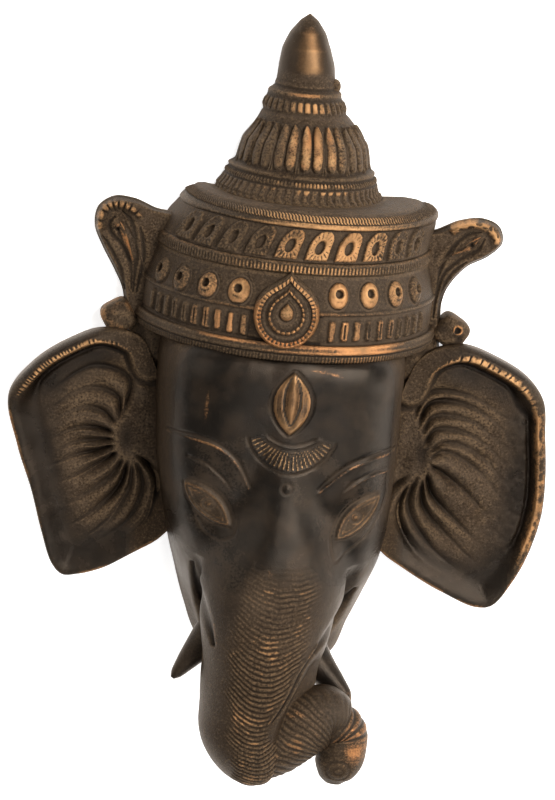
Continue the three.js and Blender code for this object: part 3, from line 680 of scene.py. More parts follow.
def profile(points, spacing=0.42, roundings=2):
    """A crown profile as closely spaced points, its corners softened, and the way outwards at each."""
    travel = np.linalg.norm(np.diff(np.array(points, float), axis=0), axis=1).sum()
    soft = evenly(points, int(travel / spacing))
    for _ in range(roundings):
        soft[1:-1] = (soft[:-2] + 2 * soft[1:-1] + soft[2:]) / 4
    slope = np.gradient(soft, axis=0)
    outwards = np.stack([slope[:, 1], -slope[:, 0]], axis=1)
    return soft, outwards / np.linalg.norm(outwards, axis=1, keepdims=True)


def crown_part(name, outside, inside, columns, relief):
    """Half a ring of the crown, from the back on the left over the front to the back on the right."""
    line, outwards = profile(outside)
    angle = np.linspace(-90, 90, columns)
    phi, y = np.meshgrid(angle, line[:, 1], indexing="ij")
    radius = np.broadcast_to(line[:, 0], phi.shape)
    height, marks = relief(phi, y, radius)
    height = height + 0.12 * lumps(np.stack([radius * np.radians(phi), y, radius], axis=-1), 9, 3)
    front = np.stack([radius + height * outwards[:, 0], y + height * outwards[:, 1]], axis=-1)
    hollow = evenly(inside, 22)
    section = np.concatenate([front, np.broadcast_to(hollow, (columns, *hollow.shape))], axis=1)
    r, v = section[..., 0], section[..., 1]
    on_disc = (r > CROWN_TOP[0][0] - 0.8) & (v > DISC_LEVEL)
    sway = np.where(on_disc, along(DISC_SWAY, r)[0], along(CROWN_SWAY, v)[0])
    turn = np.radians(angle)[:, None]
    z = np.maximum(r * np.cos(turn) * CROWN_FLATNESS, 0)
    points = np.stack([r * np.sin(turn) + sway, v, z], axis=-1)
    closed_loft(name, points, behind(marks, phi.shape, columns=len(hollow)))


def base_relief(phi, y, radius):
    """Bead line, brow ridge, upright bars and oval bosses of the lowest band."""
    arc = np.radians(phi) * radius
    ground = unrolled(arc, y)
    front = towards_front(phi, -3, 42)
    bead = ticks(arc + 0.25 * lumps(ground, 3, 6), 1.35)
    beads = plateau(y, -0.5, 2.3, 0.4)
    ridge = plateau(y, 3.1, 6.5, 0.5)
    patch = towards_front(phi, 24, 18)
    height = beads * (0.6 * bead - 0.45) + 0.5 * ridge
    height -= 0.45 * bump(y, 2.6, 0.35) + 0.5 * bump(y, 7.1, 0.5)
    wear = 0.3 * ridge * front * (0.5 + 0.5 * lumps(ground, 6, 5))
    wear = wear + 0.5 * towards_front(phi, -26, 12) * bump(y, 5.7, 0.7)
    wear = wear + patch * (0.72 * ridge + 0.4 * beads * bead)
    grime = beads * (1 - bead) * 0.8
    hue = 0.2 + 0.3 * bead * beads

    # Upright bars beside the pendant
    away = phi - PENDANT_ANGLE
    first = np.where(away < 0, FIRST_BAR_LEFT, FIRST_BAR_RIGHT)
    nearest = np.clip(np.round((np.abs(away) - first) / BAR_STEP), 0, BARS_A_SIDE - 1)
    number = nearest * 2 + (away > 0)
    u = (np.abs(away) - first - BAR_STEP * nearest) * np.radians(BAR_RADIUS)
    v = y - 12.3 - 0.4 * (scatter(number, 2) - 0.5)
    half = 1.45 + 0.35 * (scatter(number, 3) - 0.5)
    ragged = 0.3 * lumps(ground, 2.2, 4)
    box = np.maximum(np.abs(u) - half + 1.1, 0) ** 2 + np.maximum(np.abs(v) - 3.0, 0) ** 2
    bar = 1 - step(0.3, 1.6, np.sqrt(box) + ragged)
    split = bump(u, -0.15, 0.3) * plateau(v, -3.0, 2.8, 0.6) * (scatter(number, 5) > 0.5)
    band = plateau(y, 6.6, 18.2, 0.3) * step(13.6, 14.4, np.abs(away))
    height += band * (1.5 * bar - 0.6 * split - 0.15)
    worn = towards_front(away, 2, 33) * (0.3 + 0.75 * scatter(number, 7))
    wear = wear + band * bar * (1 - 0.8 * split) * worn * 1.05
    grime = grime + band * (1 - bar) * 0.75
    hue = hue + band * bar * 0.25 * scatter(number, 9)

    # Line above the bars
    line = bump(y, 18.9, 0.7)
    height += 0.35 * line
    wear = wear + 0.25 * line * front

    # Oval bosses with a drilled hole
    which = np.argmin(np.abs(away[..., None] - BOSS_ANGLES), axis=-1)
    u = (away - BOSS_ANGLES[which]) * np.radians(BOSS_RADIUS)
    v = y - np.where(away < 0, BOSS_Y_LEFT, BOSS_Y_RIGHT) - 0.5 * (scatter(which, 11) - 0.5)
    wide = 4.25 + 0.5 * (scatter(which, 12) - 0.5)
    e = np.sqrt((u / wide) ** 2 + (v / 5.0) ** 2)
    dome = np.sqrt(np.clip(1 - e**2, 0, 1))
    hole_at = np.hypot(u + 0.7 * (scatter(which, 13) - 0.3), v - 0.3 - scatter(which, 14) * 0.6)
    hole = 1 - step(1.25, 1.75, hole_at)
    lip = bump(hole_at, 2.15, 0.4)
    moat = bump(e, 1.13, 0.09)
    field = plateau(y, 19.3, 32.8, 0.3)
    height += field * (2.1 * dome + 0.3 * lip * (e < 1) - 2.6 * hole - 0.45 * moat)
    shown = step(0.9, 1.0, 2 - e - 0.02)
    worn = towards_front(away, 4, 46) * (0.5 + 0.45 * scatter(which, 15))
    wear = wear * (1 - field * shown) + field * (shown * (1 - hole) * worn * (1.15 - 0.25 * e**4))
    hue = hue + field * shown * (0.15 + 0.45 * scatter(which, 16) * worn + 0.25 * lip)
    grime = grime + field * (bump(e, 1.13, 0.1) * 0.9 + hole + 0.35 * (1 - shown))
    return height, {"wear": wear, "grime": grime, "hue": np.clip(hue, 0, 1), "brown": 0.75 - 0.3 * patch}


def band_relief(phi, y, radius):
    """Rope, arched niches and beaded rim of the upper band."""
    arc = np.radians(phi) * radius
    front = towards_front(phi, 2, 34)
    rope = ticks(arc, 1.5)
    roped = plateau(y, 33.8, 36.3, 0.3)
    fillet = bump(y, 37.1, 0.55)
    height = roped * (0.6 * rope - 0.3) + 0.55 * fillet
    wear = roped * rope * front * 0.55 + fillet * 0.15
    grime = roped * (1 - rope) * 0.8 + bump(y, 38.2, 0.5) * 0.6
    hue = 0.3 + 0.3 * roped

    # Niches with a scalloped rim and a hole
    nearest = np.clip(np.floor((phi + NICHE_SHIFT) / NICHE_STEP), -5, 4)
    number = nearest + 20
    u = (phi + NICHE_SHIFT - (nearest + 0.5) * NICHE_STEP) * np.radians(NICHE_RADIUS)
    v = y - NICHE_Y
    half = 4.7 - 0.25 * scatter(number, 21)
    shoulder = np.clip((v - 0.5) / 5.4, 0, 1)
    side = half * np.sqrt(np.clip(1 - shoulder**2.2, 0, 1))
    inside = np.minimum(side - np.abs(u), v + 5.9)
    arch = step(-0.15, 0.75, inside) * step(-6.3, -5.7, v) * (1 - step(5.7, 6.2, v))
    rim = bump(inside, 1.05, 0.75) * arch
    scallop = ticks(np.arctan2(v + 0.6, u) * 4.4, 1.45)
    hole = 1 - step(0.75, 1.1, np.sqrt((u / 1.75) ** 2 + ((v + 0.6) / 2.6) ** 2))
    field = plateau(y, 38, 50, 0.3)
    height += 1.8 * step(45, 80, np.abs(phi)) * bump(y, 46, 7)
    height += field * (1.5 * arch + 0.35 * rim - 0.55 * rim * (1 - scallop) - 2.2 * hole)
    worn = towards_front(phi, 11, 23) * (0.7 + 0.5 * scatter(number, 23))
    wear = wear + field * arch * (1 - hole) * (0.35 + 0.65 * scallop) * worn * 1.1
    grime = grime + field * ((1 - arch) * 0.65 + hole + 0.5 * rim * (1 - scallop))
    hue = hue + field * arch * (0.1 + 0.5 * worn * scatter(number, 24))

    # Beaded rim and the flat disc inside it
    bright = plateau(y, 50.4, 52.3, 0.35)
    tips = ticks(arc, 1.3)
    edge = plateau(y, 52.6, 54.6, 0.25) * (radius > 46)
    height += 0.25 * bright + edge * (0.75 * tips - 0.35)
    rubbed = towards_front(phi, 4, 38)
    wear = wear + bright * rubbed * 0.6 + edge * tips * rubbed * 0.8
    grime = grime + edge * (1 - tips) * 0.7
    hue = hue + bright * 0.35 + edge * tips * 0.6
    disc = step(54.3, 54.9, y)
    return height, {
        "wear": wear * (1 - disc),
        "grime": np.clip(grime + 0.8 * disc, 0, 1),
        "hue": np.clip(hue, 0, 1),
        "brown": 0.8 - 0.2 * bright + 0.2 * disc,
    }


def top_relief(phi, y, radius):
    """Upright bars, bead rows, paired petals, pods and the smooth finial."""
    count = phi * (31 / 57.3)
    ground = unrolled(phi * 0.5, y)
    front = towards_front(phi, 4, 30)
    bar = ticks(count + 0.3 * lumps(ground, 4, 35), 3.3)
    barred = plateau(y, 56, 61.2, 0.4)
    tips = bump(y, 60.6, 0.7)
    height = barred * (0.9 * bar - 0.5)
    wear = barred * bar * 0.12 * front
    wear = wear + 0.8 * tips * bar * front * step(-0.5, 0.5, lumps(ground, 2.5, 36))
    grime = barred * (1 - bar) * 0.6 + 0.35
    hue = 0.3 + 0.5 * tips * front
    bead = ticks(count + 0.2 * lumps(ground, 3, 37), 1.5)
    row = bump(y, 63.2, 0.85)
    height += row * (0.8 * bead - 0.1) - 0.4 * bump(y, 61.9, 0.35) + 0.45 * bump(y, 65.5, 0.6)
    wear = wear + row * bead * front * 0.8 * step(-0.6, 0.3, lumps(ground, 2, 38))
    hue = hue + 0.5 * row

    # Petals in pairs, under arches
    pair = np.round(np.clip((phi - PETAL_SHIFT) / PETAL_STEP, -3.4, 3.4))
    off = phi - PETAL_SHIFT - pair * PETAL_STEP
    u = (np.abs(off) - PETAL_SPREAD) * np.radians(1) * radius
    v = y - PETAL_Y
    within = np.abs(v) < PETAL_HALF_HEIGHT
    bow = 1 - np.abs(v / PETAL_HALF_HEIGHT) ** 4
    half = 2.15 * np.sqrt(np.clip(bow, 0, 1)) * radius / 26
    e = np.abs(u) / np.maximum(half, 0.05)
    petal = np.clip(1 - e**2, 0, 1) ** 0.4 * within
    field = plateau(y, 67.0, 84.5, 0.4)
    sunk = 0.3 + 0.7 * towards_front(phi, 2, 50)
    height += field * sunk * (2.0 * petal - 0.35 * bump(e, 1.35, 0.25) * within)
    arch_e = np.sqrt((off / 10.6) ** 2 + (np.maximum(v, -2) / 9.6) ** 2)
    height += field * 0.7 * bump(arch_e, 1.0, 0.06)
    which = pair * 2 + np.sign(off + 1e-9) + 30
    worn = towards_front(phi, 3, 25) * (0.48 + 0.32 * scatter(which, 31))
    patchy = 0.75 + 0.4 * lumps(ground, 2.2, 39)
    wear = wear + field * petal * worn * step(-8.5, -5, v) * patchy
    grime = np.clip(grime + field * (0.7 * bump(e, 1.4, 0.35) + 0.1), 0, 1)
    hue = hue + field * petal * (0.15 + 0.5 * lumps(ground, 3, 40))

    # Pods and the plain ring above them
    pod = ticks(phi * (17 / 57.3) + 0.2 * lumps(ground, 4, 41), 3.1)
    podded = plateau(y, 89.4, 93.0, 1.0)
    height += podded * (1.2 * pod - 0.4) - 0.5 * bump(y, 88.0, 0.8)
    ring = bump(y, 95.6, 1.1)
    height += 0.8 * ring - 0.45 * bump(y, 98.0, 0.5)
    wear = wear + podded * pod * towards_front(phi, 4, 25) * 0.85
    wear = wear + ring * towards_front(phi, 0, 28) * 0.6
    grime = np.clip(grime + podded * (1 - pod) * 0.5 + bump(y, 87.6, 1.2) * 0.5, 0, 1)
    hue = hue + podded * 0.3

    # Smooth finial
    bulb = step(100.5, 105.5, y) * (1 - step(117, 126, y) * 0.7)
    height = height + bulb * 0.2 * lumps(ground * (0.5, 1, 1), 6, 34)
    wear = wear + bulb * towards_front(phi, 4, 42) * 0.72
    return height, {
        "wear": wear,
        "grime": grime * (1 - bulb),
        "hue": np.clip(hue, 0, 1),
        "brown": 0.85 - 0.35 * bulb,
        "calm": 0.8 * bulb,
    }


crown_part("crown_base", CROWN_BASE, CROWN_BASE_INSIDE, 520, base_relief)
crown_part("crown_band", CROWN_BAND, CROWN_BAND_INSIDE, 500, band_relief)
crown_part("crown_top", CROWN_TOP, CROWN_TOP_INSIDE, 340, top_relief)


def outside(x, z, half_width, front, widest, back, squareness):
    """How far a point of a section lies outside a rounded rectangle, negative inside."""
    reach = np.where(z > widest, front - widest, widest - back)
    q = (np.abs(x) / half_width) ** squareness + (np.abs(z - widest) / reach) ** squareness
    return (q ** (1 / squareness) - 1) * np.minimum(half_width, reach)


def head_field(x, y, z, is_open=False):
    """How far a point lies outside the head and trunk, which flow into each other."""
    half_width, middle, front, widest, head_back, squareness = along(HEAD, y)
    t_half, t_middle, t_top, t_widest, trunk_back = along(TRUNK, y)
    if is_open:
        head_back, trunk_back = -40.0, -40.0
    cap = np.clip((TRUNK_CAP_START - y) / (TRUNK_CAP_START - TRUNK_END), 0, 1)
    k = np.sqrt(np.maximum(1 - cap * cap, 1e-6))
    head = outside(x - middle, z, half_width, front, widest, head_back, squareness)
    head = np.where(y < HEAD[0][0], 99.0, head)
    top = t_widest + (t_top - t_widest) * k
    bottom = t_widest - (t_widest - trunk_back) * k
    trunk = outside(x - t_middle, z, t_half * k, top, t_widest, bottom, TRUNK_SQUARENESS)
    near = np.maximum(6 - np.abs(head - trunk), 0) / 6
    return np.minimum(head, trunk) - near * near * 6 / 4


def head_rows(y, angle, inset=0.0):
    """Points of the head's sections at y, one per angle round the spine."""
    yy, aa = np.meshgrid(y, angle, indexing="ij")
    spine_z = along(SPINE, yy)[0]
    middle = along(TRUNK, yy)[1]
    dx, dz = np.cos(aa), np.sin(aa)
    low, high = np.zeros(yy.shape), np.full(yy.shape, 90.0)
    for _ in range(16):
        r = (low + high) / 2
        within = head_field(middle + r * dx, yy, spine_z + r * dz, inset > 0) + inset < 0
        low, high = np.where(within, r, low), np.where(within, high, r)
    x, z = middle + low * dx, spine_z + low * dz
    fold_angle, fold_depth = along(CHEEK_FOLD, yy)
    spread = 2.2 if inset else 1.0
    elevation = np.degrees(np.arctan2(z - spine_z, np.abs(x - middle)))
    away = np.radians(elevation - fold_angle) * low / (CHEEK_FOLD_WIDTH * spread)
    depth = np.maximum(fold_depth, 0) * np.exp(-2 * away * away)
    for ex, ey, _ in EYES:
        q = ((x - ex) / SOCKET[0]) ** 2 + ((yy - ey) / SOCKET[1]) ** 2
        depth = depth + SOCKET[2] * np.exp(-2 * q) * (z > spine_z)
    low = low - depth
    x, z = middle + low * dx, spine_z + low * dz
    crease_x, loss = along(TRUNK_CREASE, yy)
    lost = np.maximum(loss, 0) * step(0, CREASE_SLOPE, x - crease_x)
    z = np.where(z > spine_z, spine_z + (z - spine_z) * (1 - lost), z)
    return np.stack([x, yy, z], axis=-1)


def spread_row(row, weights, count):
    """count points along a row, closer together where the weight is higher."""
    length = np.linalg.norm(np.diff(row, axis=0), axis=1)
    travel = np.concatenate([[0], np.cumsum(length * weights)])
    goal = np.linspace(0, travel[-1], count)
    return np.stack([np.interp(goal, travel, row[:, k]) for k in range(3)], axis=1)


class Relief:
    """Height and marks of the face, gathered one feature after another."""

    def __init__(self, points):
        self.points = points
        self.x, self.y, self.z = points[..., 0], points[..., 1], points[..., 2]
        self.front = (self.z > 38) * 1.0
        names = ("height", "wear", "grime", "hue", "brown", "painted_shade", "calm")
        self.values = {name: np.zeros(self.x.shape) for name in names}

    def add(self, where, **amounts):
        """Adds each amount where the feature is, on the front only."""
        for name, amount in amounts.items():
            self.values[name] = self.values[name] + amount * where * self.front

    def line(self, points, width, **amounts):
        self.add(stroke(self.x, self.y, points, width), **amounts)

    def colour(self, where, hue):
        self.values["hue"] = np.where(where, hue, self.values["hue"])


def brows(face):
    """Brows with a worn lip, stains and dust that clings in patches."""
    for line, width in BROWS:
        face.line(line, width, height=-0.8, grime=0.35)
        lip = stroke(face.x, face.y + 1.5, line, width * 0.9)
        face.add(lip, height=0.25, wear=0.35 * (lumps(face.points, 5, 41) * 0.5 + 0.5))
    for line, width in STAINS:
        face.add(stroke(face.x, face.y, line, width, 0.4), wear=0.5)
    dusty = step(-0.1, 0.8, lumps(face.points, 12, 65)) * (1 - step(-40, -28, face.y))
    face.add(dusty, grime=0.28)


def eye(face, middle_x, middle_y, tilt):
    """Lids, ball and pupil of an almond-shaped eye, and the fold above it."""
    c, s = math.cos(math.radians(tilt)), math.sin(math.radians(tilt))
    inner = 1 if middle_x < 0 else -1
    u = ((face.x - middle_x) * c + (face.y - middle_y) * s) * inner
    v = -(face.x - middle_x) * s + (face.y - middle_y) * c
    bow = np.clip(1 - (u / EYE_HALF_LENGTH) ** 2, 0, 1)
    upper = 4.9 * bow**0.9
    lower = -5.6 * bow**0.8
    inside = np.where(np.abs(u) < EYE_HALF_LENGTH, np.minimum(upper - v, v - lower), -3.0)
    almond = step(-0.2, 1.6, inside)
    face.add(almond, height=1.1, wear=0.36 + 0.1 * lumps(face.points, 3.4, 42), brown=0.55, calm=0.6)
    face.add(bump(inside, 0.9, 0.75), height=0.3, wear=-0.05)
    face.add(bump(inside, -0.35, 0.4), height=-0.35, grime=0.65)
    face.add(bump(inside, 2.0, 0.4), height=-0.4, wear=-0.2, grime=0.65)
    pupil_at = np.hypot(u - 0.8, v - 0.4)
    face.add(bump(pupil_at, 2.3, 0.4) * (inside > 1.6), height=-0.35, wear=-0.2, grime=0.65)
    face.add(bump(pupil_at, 0, 0.8), height=0.3)
    face.add(bump(v - upper, 1.7, 0.35) * (np.abs(u) < 12), height=-0.25, grime=0.4)
    face.colour(almond * face.front > 0.5, 0.1 + 0.15 * (v < 0))


def crescent(face):
    """Crescent with fine strokes, below the flame."""
    out = np.hypot(face.x - CRESCENT[0], face.y - CRESCENT[1])
    low = np.hypot(face.x - CRESCENT[0], face.y - CRESCENT_INNER_Y)
    turn = np.degrees(np.arctan2(face.y - CRESCENT[1], face.x - CRESCENT[0]))
    within = plateau(turn, -160, -20, 2.5)
    face.add(within * (1 - step(17.4, 18.2, out)) * step(16.2, 16.9, low), height=0.3)
    face.add(bump(out, 18.1, 0.45) * plateau(turn, -163, -17, 3), height=-0.6, grime=0.45)
    inner_line = bump(low, 16.4, 0.4) + 0.8 * bump(low, 18.3, 0.35)
    face.add(inner_line * plateau(turn, -155, -25, 4), height=-0.45, grime=0.35)
    cut = ticks(turn * math.radians(16.5), 1.9)
    hatched = step(18.6, 19.4, low) * (1 - step(16.3, 17.0, out)) * within
    face.add(hatched, height=0.6 * cut - 0.6, grime=0.35 * (1 - cut), wear=0.3 * cut)
    face.colour(hatched * face.front > 0.3, 0.9)


def flame(face):
    """Flame-shaped mark of bare metal with a smaller flame inside it."""
    t = np.linspace(0, 1, 40)
    side = 3 * (1 - t) ** 2 * t * 7.56 + 3 * (1 - t) * t**2 * 12.6
    rise = FLAME_HALF_HEIGHT * (t**3 - (1 - t) ** 3)
    rise = rise - 3 * (1 - t) ** 2 * t * 7.68 + 3 * (1 - t) * t**2 * 3.07
    u, v = face.x - FLAME[0], face.y - FLAME[1]
    half = np.interp(v, rise, side, left=-2, right=-2)
    inside = (half - np.abs(u)) * 0.85
    whole = step(-0.1, 0.9, inside)
    core_half = np.interp(v, rise * 0.82 + 1.6, side * 0.42, left=-2, right=-2)
    core = (core_half - np.abs(u)) * 0.95
    core_cut = bump(core, 0, 0.26)
    side_cut = bump(np.abs(u) - half * 0.74, 0, 0.35) * whole * (v > -6)
    worn = (1 - 0.6 * core_cut * face.front) * (0.58 + 0.1 * lumps(face.points, 5, 43))
    face.add(whole, height=1.0, wear=worn, calm=0.7)
    face.add(bump(inside, -0.5, 0.5), height=-0.6, grime=0.5)
    face.add(core_cut, height=-0.35, grime=0.7)
    face.add(side_cut, height=-0.09)
    face.add(step(0.2, 2.4, core), height=0.4)
    face.colour(whole * face.front > 0.3, 0.3 + 0.25 * step(-4, -11, v))


def face_relief(points):
    """Everything that is carved into the face."""
    face = Relief(points)
    face.colour(True, 0.2)
    brows(face)
    for place in EYES:
        eye(face, *place)
    for line in (FOLD_LEFT, FOLD_RIGHT):
        face.line(line, 0.7, height=-0.3, grime=0.3)
    crescent(face)
    flame(face)
    dot = np.hypot(face.x - FOREHEAD_DOT[0], face.y - FOREHEAD_DOT[1])
    face.add(bump(dot, 0, 1.0), height=0.5)
    face.add(bump(dot, 2.0, 0.4), height=-0.3, grime=0.4)
    return face.values


def trunk_rings(points):
    """Rings that bend round the front of the trunk and fade towards its sides."""
    x, y, z = points[..., 0], points[..., 1], points[..., 2]
    left, right, lowest, bend = along(RINGED, y)
    ragged = 1.6 * lumps(points, 5, 57) + 0.8 * lumps(points, 2, 54)
    soft = 3.0
    band = step(-soft, soft, x - left + ragged) * step(-soft, soft, right - x + ragged)
    band = band * step(46, 56, z) * (1 - step(-88, -77, y + 2 * ragged))
    flat = points * (1, 0.3, 0)
    wobble = 0.3 * lumps(flat, 9, 51) + 0.22 * lumps(flat, 2.6, 52)
    count = (bend * ((x - lowest) / 13) ** 2 - y) / RING_PITCH + wobble
    ring = ticks(count, 1.0)
    deep = 0.45 + 0.45 * (1 - step(-135, -100, y))
    height = band * (ring - 0.6) * deep * (1.0 + 0.6 * lumps(points, 6, 58))
    flecks = step(0.1, 0.9, lumps(points, 4.5, 56)) + 0.5 * step(0.2, 0.8, lumps(points, 1.8, 53))
    rubbed = spot(points, (-3.5, -80), 7.5) + 0.8 * spot(points, (2, -112), 6)
    rubbed = rubbed + 0.6 * spot(points, (-9, -140), 6)
    wear = band * ring * (0.08 + 0.3 * flecks) + 0.42 * rubbed * step(-0.4, 0.6, lumps(points, 1.6, 60))
    grime = band * (0.15 + 0.25 * lumps(points, 14, 59))
    return height, wear, grime, band


def cheek_slits(points):
    """The folds between the trunk and the cheeks, and the crease below the right one, with painted shade
    in them.
    """
    x, y = points[..., 0], points[..., 1]
    front = step(28, 34, points[..., 2])
    left = stroke(x, y, SLIT_LEFT, 2.3, 0.45)
    right = stroke(x, y, SLIT_RIGHT, 2.6, 0.35)
    crease = stroke(x, y, SLIT_CREASE, 0.8, 0.3)
    lip = stroke(x, y, SLIT_LIP, 1.0, 0.3)
    # Painted shade in both folds and, more lightly, in the crease
    painted_shade = np.clip(left + right, 0, 1) * front
    height = front * (-1.5 * left - 1.3 * right - 0.7 * crease + 0.5 * lip)
    copper = stroke(x, y, SLIT_COPPER, 1.4, 0.4) * front
    wear = 0.4 * copper + 0.3 * lip * front * step(-0.2, 0.6, lumps(points, 3, 63))
    return height, wear, np.clip(0.75 * painted_shade + 0.5 * crease * front, 0, 1)


HEAD_ANGLES = 1441
HEAD_FRONT, HEAD_REAR = 232, 34


def head_loop(y, outer, inner):
    """One section of the head: its front from the right rim to the left one, and the way back."""
    spine_z = along(SPINE, y)[0]
    is_shell = y > CAVITY_END
    lowest = max(spine_z - 20, 0) if is_shell else spine_z - 22
    middle = HEAD_ANGLES // 2
    right, left = outer[: middle + 1], outer[middle:]
    front = np.vstack([right[right[:, 2] >= lowest], left[left[:, 2] >= lowest][1:]])
    heights = (front[1:, 2] + front[:-1, 2]) / 2
    front = spread_row(front, np.where(heights > spine_z + 12, 1.0, 0.35), HEAD_FRONT)
    if is_shell:
        # Down the left wall's outside, through the hollow and up the right wall's outside
        walls = [wall[(wall[:, 2] >= 0) & (wall[:, 2] < lowest)] for wall in (left, right)]
        rear = np.vstack([walls[0], inner[inner[:, 2] >= 0][::-1], walls[1]])
    else:
        # The rear's points, starting where their row is broken
        rear = outer[outer[:, 2] < lowest]
        split = len(rear) // 2
        if len(rear) > 2:
            split = np.argmax(np.linalg.norm(np.diff(rear, axis=0), axis=1)) + 1
        rear = np.vstack([rear[split:], rear[:split]])
    rear = evenly(np.vstack([front[-1:], rear, front[:1]]), HEAD_REAR + 2)[1:-1]
    return np.vstack([front, rear])


def head():
    """Head and trunk as one skin, carved on its front."""
    forehead = np.arange(HEAD_TOP, -78, -0.62)
    trunk = np.arange(-78, TRUNK_CAP_START, -0.42)
    cap = TRUNK_CAP_START + (TRUNK_END - TRUNK_CAP_START) * np.sin(np.radians(np.linspace(0, 89, 54)))
    rows = np.concatenate([forehead, trunk, cap])
    angles = np.radians(np.linspace(-90, 270, HEAD_ANGLES))
    sections = zip(rows, head_rows(rows, angles), head_rows(rows, angles, WALL))
    loops = np.array([head_loop(*section) for section in sections])
    front = loops[:, :HEAD_FRONT]
    marks = face_relief(front)
    ring_height, ring_wear, ring_grime, ringed = trunk_rings(front)
    slit_height, slit_wear, slit_shade = cheek_slits(front)
    height = marks.pop("height") + ring_height + slit_height
    height = height + 0.18 * lumps(front, 11, 61) + 0.06 * lumps(front, 3, 62)
    height[:, 0] = height[:, -1] = 0
    normal = normals_of(front, False)
    outwards = np.sign((normal * (front - front.mean(axis=1, keepdims=True))).sum())
    loops[:, :HEAD_FRONT] = front + normal * outwards * height[..., None]
    loops[..., 2] = np.maximum(loops[..., 2], 0)
    x, y, z = np.moveaxis(loops[:, :HEAD_FRONT], -1, 0)
    lower = 1 - step(-130, -70, y + 8 * lumps(loops[:, :HEAD_FRONT], 16, 64))
    upper = step(-75, -55, y)
    side = np.maximum(1 - step(10, 30, z), (1 - step(40, 47, z)) * upper)
    marks["wear"] = marks["wear"] + ring_wear + slit_wear
    marks["grime"] = marks["grime"] + ring_grime
    marks["hue"] = np.clip(marks["hue"] + 0.3 * ringed, 0, 1)
    marks["brown"] = np.clip(marks["brown"] + 0.45 * ringed + 0.65 * lower + side * 0.8, 0, 1)
    # Painted shade in the cheek folds and the crease below the right one
    marks["painted_shade"] = slit_shade
    closed_loft("head", loops, behind(marks, x.shape, columns=HEAD_REAR))


head()


def tube(name, stations, steps, sides, relief):
    """A round tapered tube. relief gives height and marks from points, way along it, angle and radius."""
    table = np.array(stations, float)
    centre = spline(table[:, :3], steps)
    share = np.linspace(0, 1, len(table))
    radii = along(np.stack([share, table[:, 3]], axis=1), np.linspace(0, 1, steps))[0]
    ahead = np.gradient(centre, axis=0)
    ahead /= np.linalg.norm(ahead, axis=1, keepdims=True)
    side = np.cross(ahead, (0.0, 0.0, 1.0))
    side /= np.linalg.norm(side, axis=1, keepdims=True)
    up = np.cross(side, ahead)
    angle = np.linspace(0, 2 * np.pi, sides, endpoint=False)[None, :, None]
    ring = side[:, None] * np.cos(angle) + up[:, None] * np.sin(angle)
    points = centre[:, None] + ring * radii[:, None, None]
    travel = np.concatenate([[0], np.cumsum(np.linalg.norm(np.diff(centre, axis=0), axis=1))])
    height, marks = relief(points, travel[:, None], angle[..., 0], radii[:, None])
    closed_loft(name, points + ring * height[..., None], {"hue": 0.3, **marks})


def curl_relief(points, travel, angle, radius):
    """Ribs round the curl, clearest on its front and near the elbow."""
    top = step(0.1, 0.5, np.sin(angle)) * np.ones(points.shape[:2])
    near_elbow = 1 - step(22, 34, travel)
    rib = ticks(travel + 0.8 * lumps(points, 6, 71) - 0.4 * radius * np.cos(angle), 2.0)
    flecks = step(0.0, 0.9, lumps(points, 4, 72))
    height = top * (rib - 0.6) * (0.22 + 0.35 * near_elbow) + 0.25 * lumps(points, 8, 73)
    return height, {
        "wear": top * rib * (0.05 + 0.32 * flecks) * (0.3 + 0.7 * near_elbow),
        "grime": top * (0.15 + 0.3 * (1 - rib)),
        "brown": 0.7 - 0.4 * (1 - near_elbow),
    }


def ball_relief(points, travel, angle, radius):
    """The ball-like tip: wrinkled where it leaves the curl, smooth and coppery below."""
    wrinkles = ticks(travel + 0.8 * lumps(points, 7, 81), 2.4)
    folded = plateau(travel, 2.0, 8.5, 1.5)
    swirl = np.hypot((points[..., 0] - 31.6) / 1.1, points[..., 1] + 162.5)
    line = bump(swirl, 4.2, 0.5) + 0.7 * bump(swirl, 1.6, 0.5)
    height = folded * (wrinkles - 0.6) * 0.8 - 0.3 * line + 0.25 * lumps(points, 6, 83)
    patch = spot(points, (37.5, -154.5), 6.5)
    rubbed = step(-0.2, 0.8, lumps(points, 3, 84))
    return height, {
        "wear": 0.75 * patch + 0.2 * folded * wrinkles + 0.16 * rubbed,
        "grime": folded * (1 - wrinkles) * 0.5 + 0.4 * line,
        "hue": 0.12,
        "brown": 0.7 - 0.4 * folded,
    }


def tusk_relief(brown):
    """A smooth tusk with a rubbed tip, as brown as given."""

    def relief(points, travel, angle, radius):
        end = travel.max()
        tip = step(end - 4, end - 1, travel) * step(-0.3, 0.5, lumps(points, 2, 92))
        marks = {"wear": 0.55 * tip, "grime": 0.05, "hue": 0.1, "brown": brown}
        return 0.12 * lumps(points, 5, 91), marks

    return relief


tube("curl", CURL, 110, 104, curl_relief)
tube("curl_end", CURL_END, 84, 88, ball_relief)
tube("tusk_left", TUSK_LEFT, 40, 48, tusk_relief(0.2))
tube("tusk_right", TUSK_RIGHT, 40, 48, tusk_relief(0.0))


def distance_to(x, y, line):
    """Distance from every point to a polyline."""
    nearest = np.full(x.shape, 1e9)
    for (ax, ay), (bx, by) in zip(line[:-1], line[1:]):
        length = max((bx - ax) ** 2 + (by - ay) ** 2, 1e-9)
        s = np.clip(((x - ax) * (bx - ax) + (y - ay) * (by - ay)) / length, 0, 1)
        nearest = np.minimum(nearest, np.hypot(x - ax - s * (bx - ax), y - ay - s * (by - ay)))
    return nearest


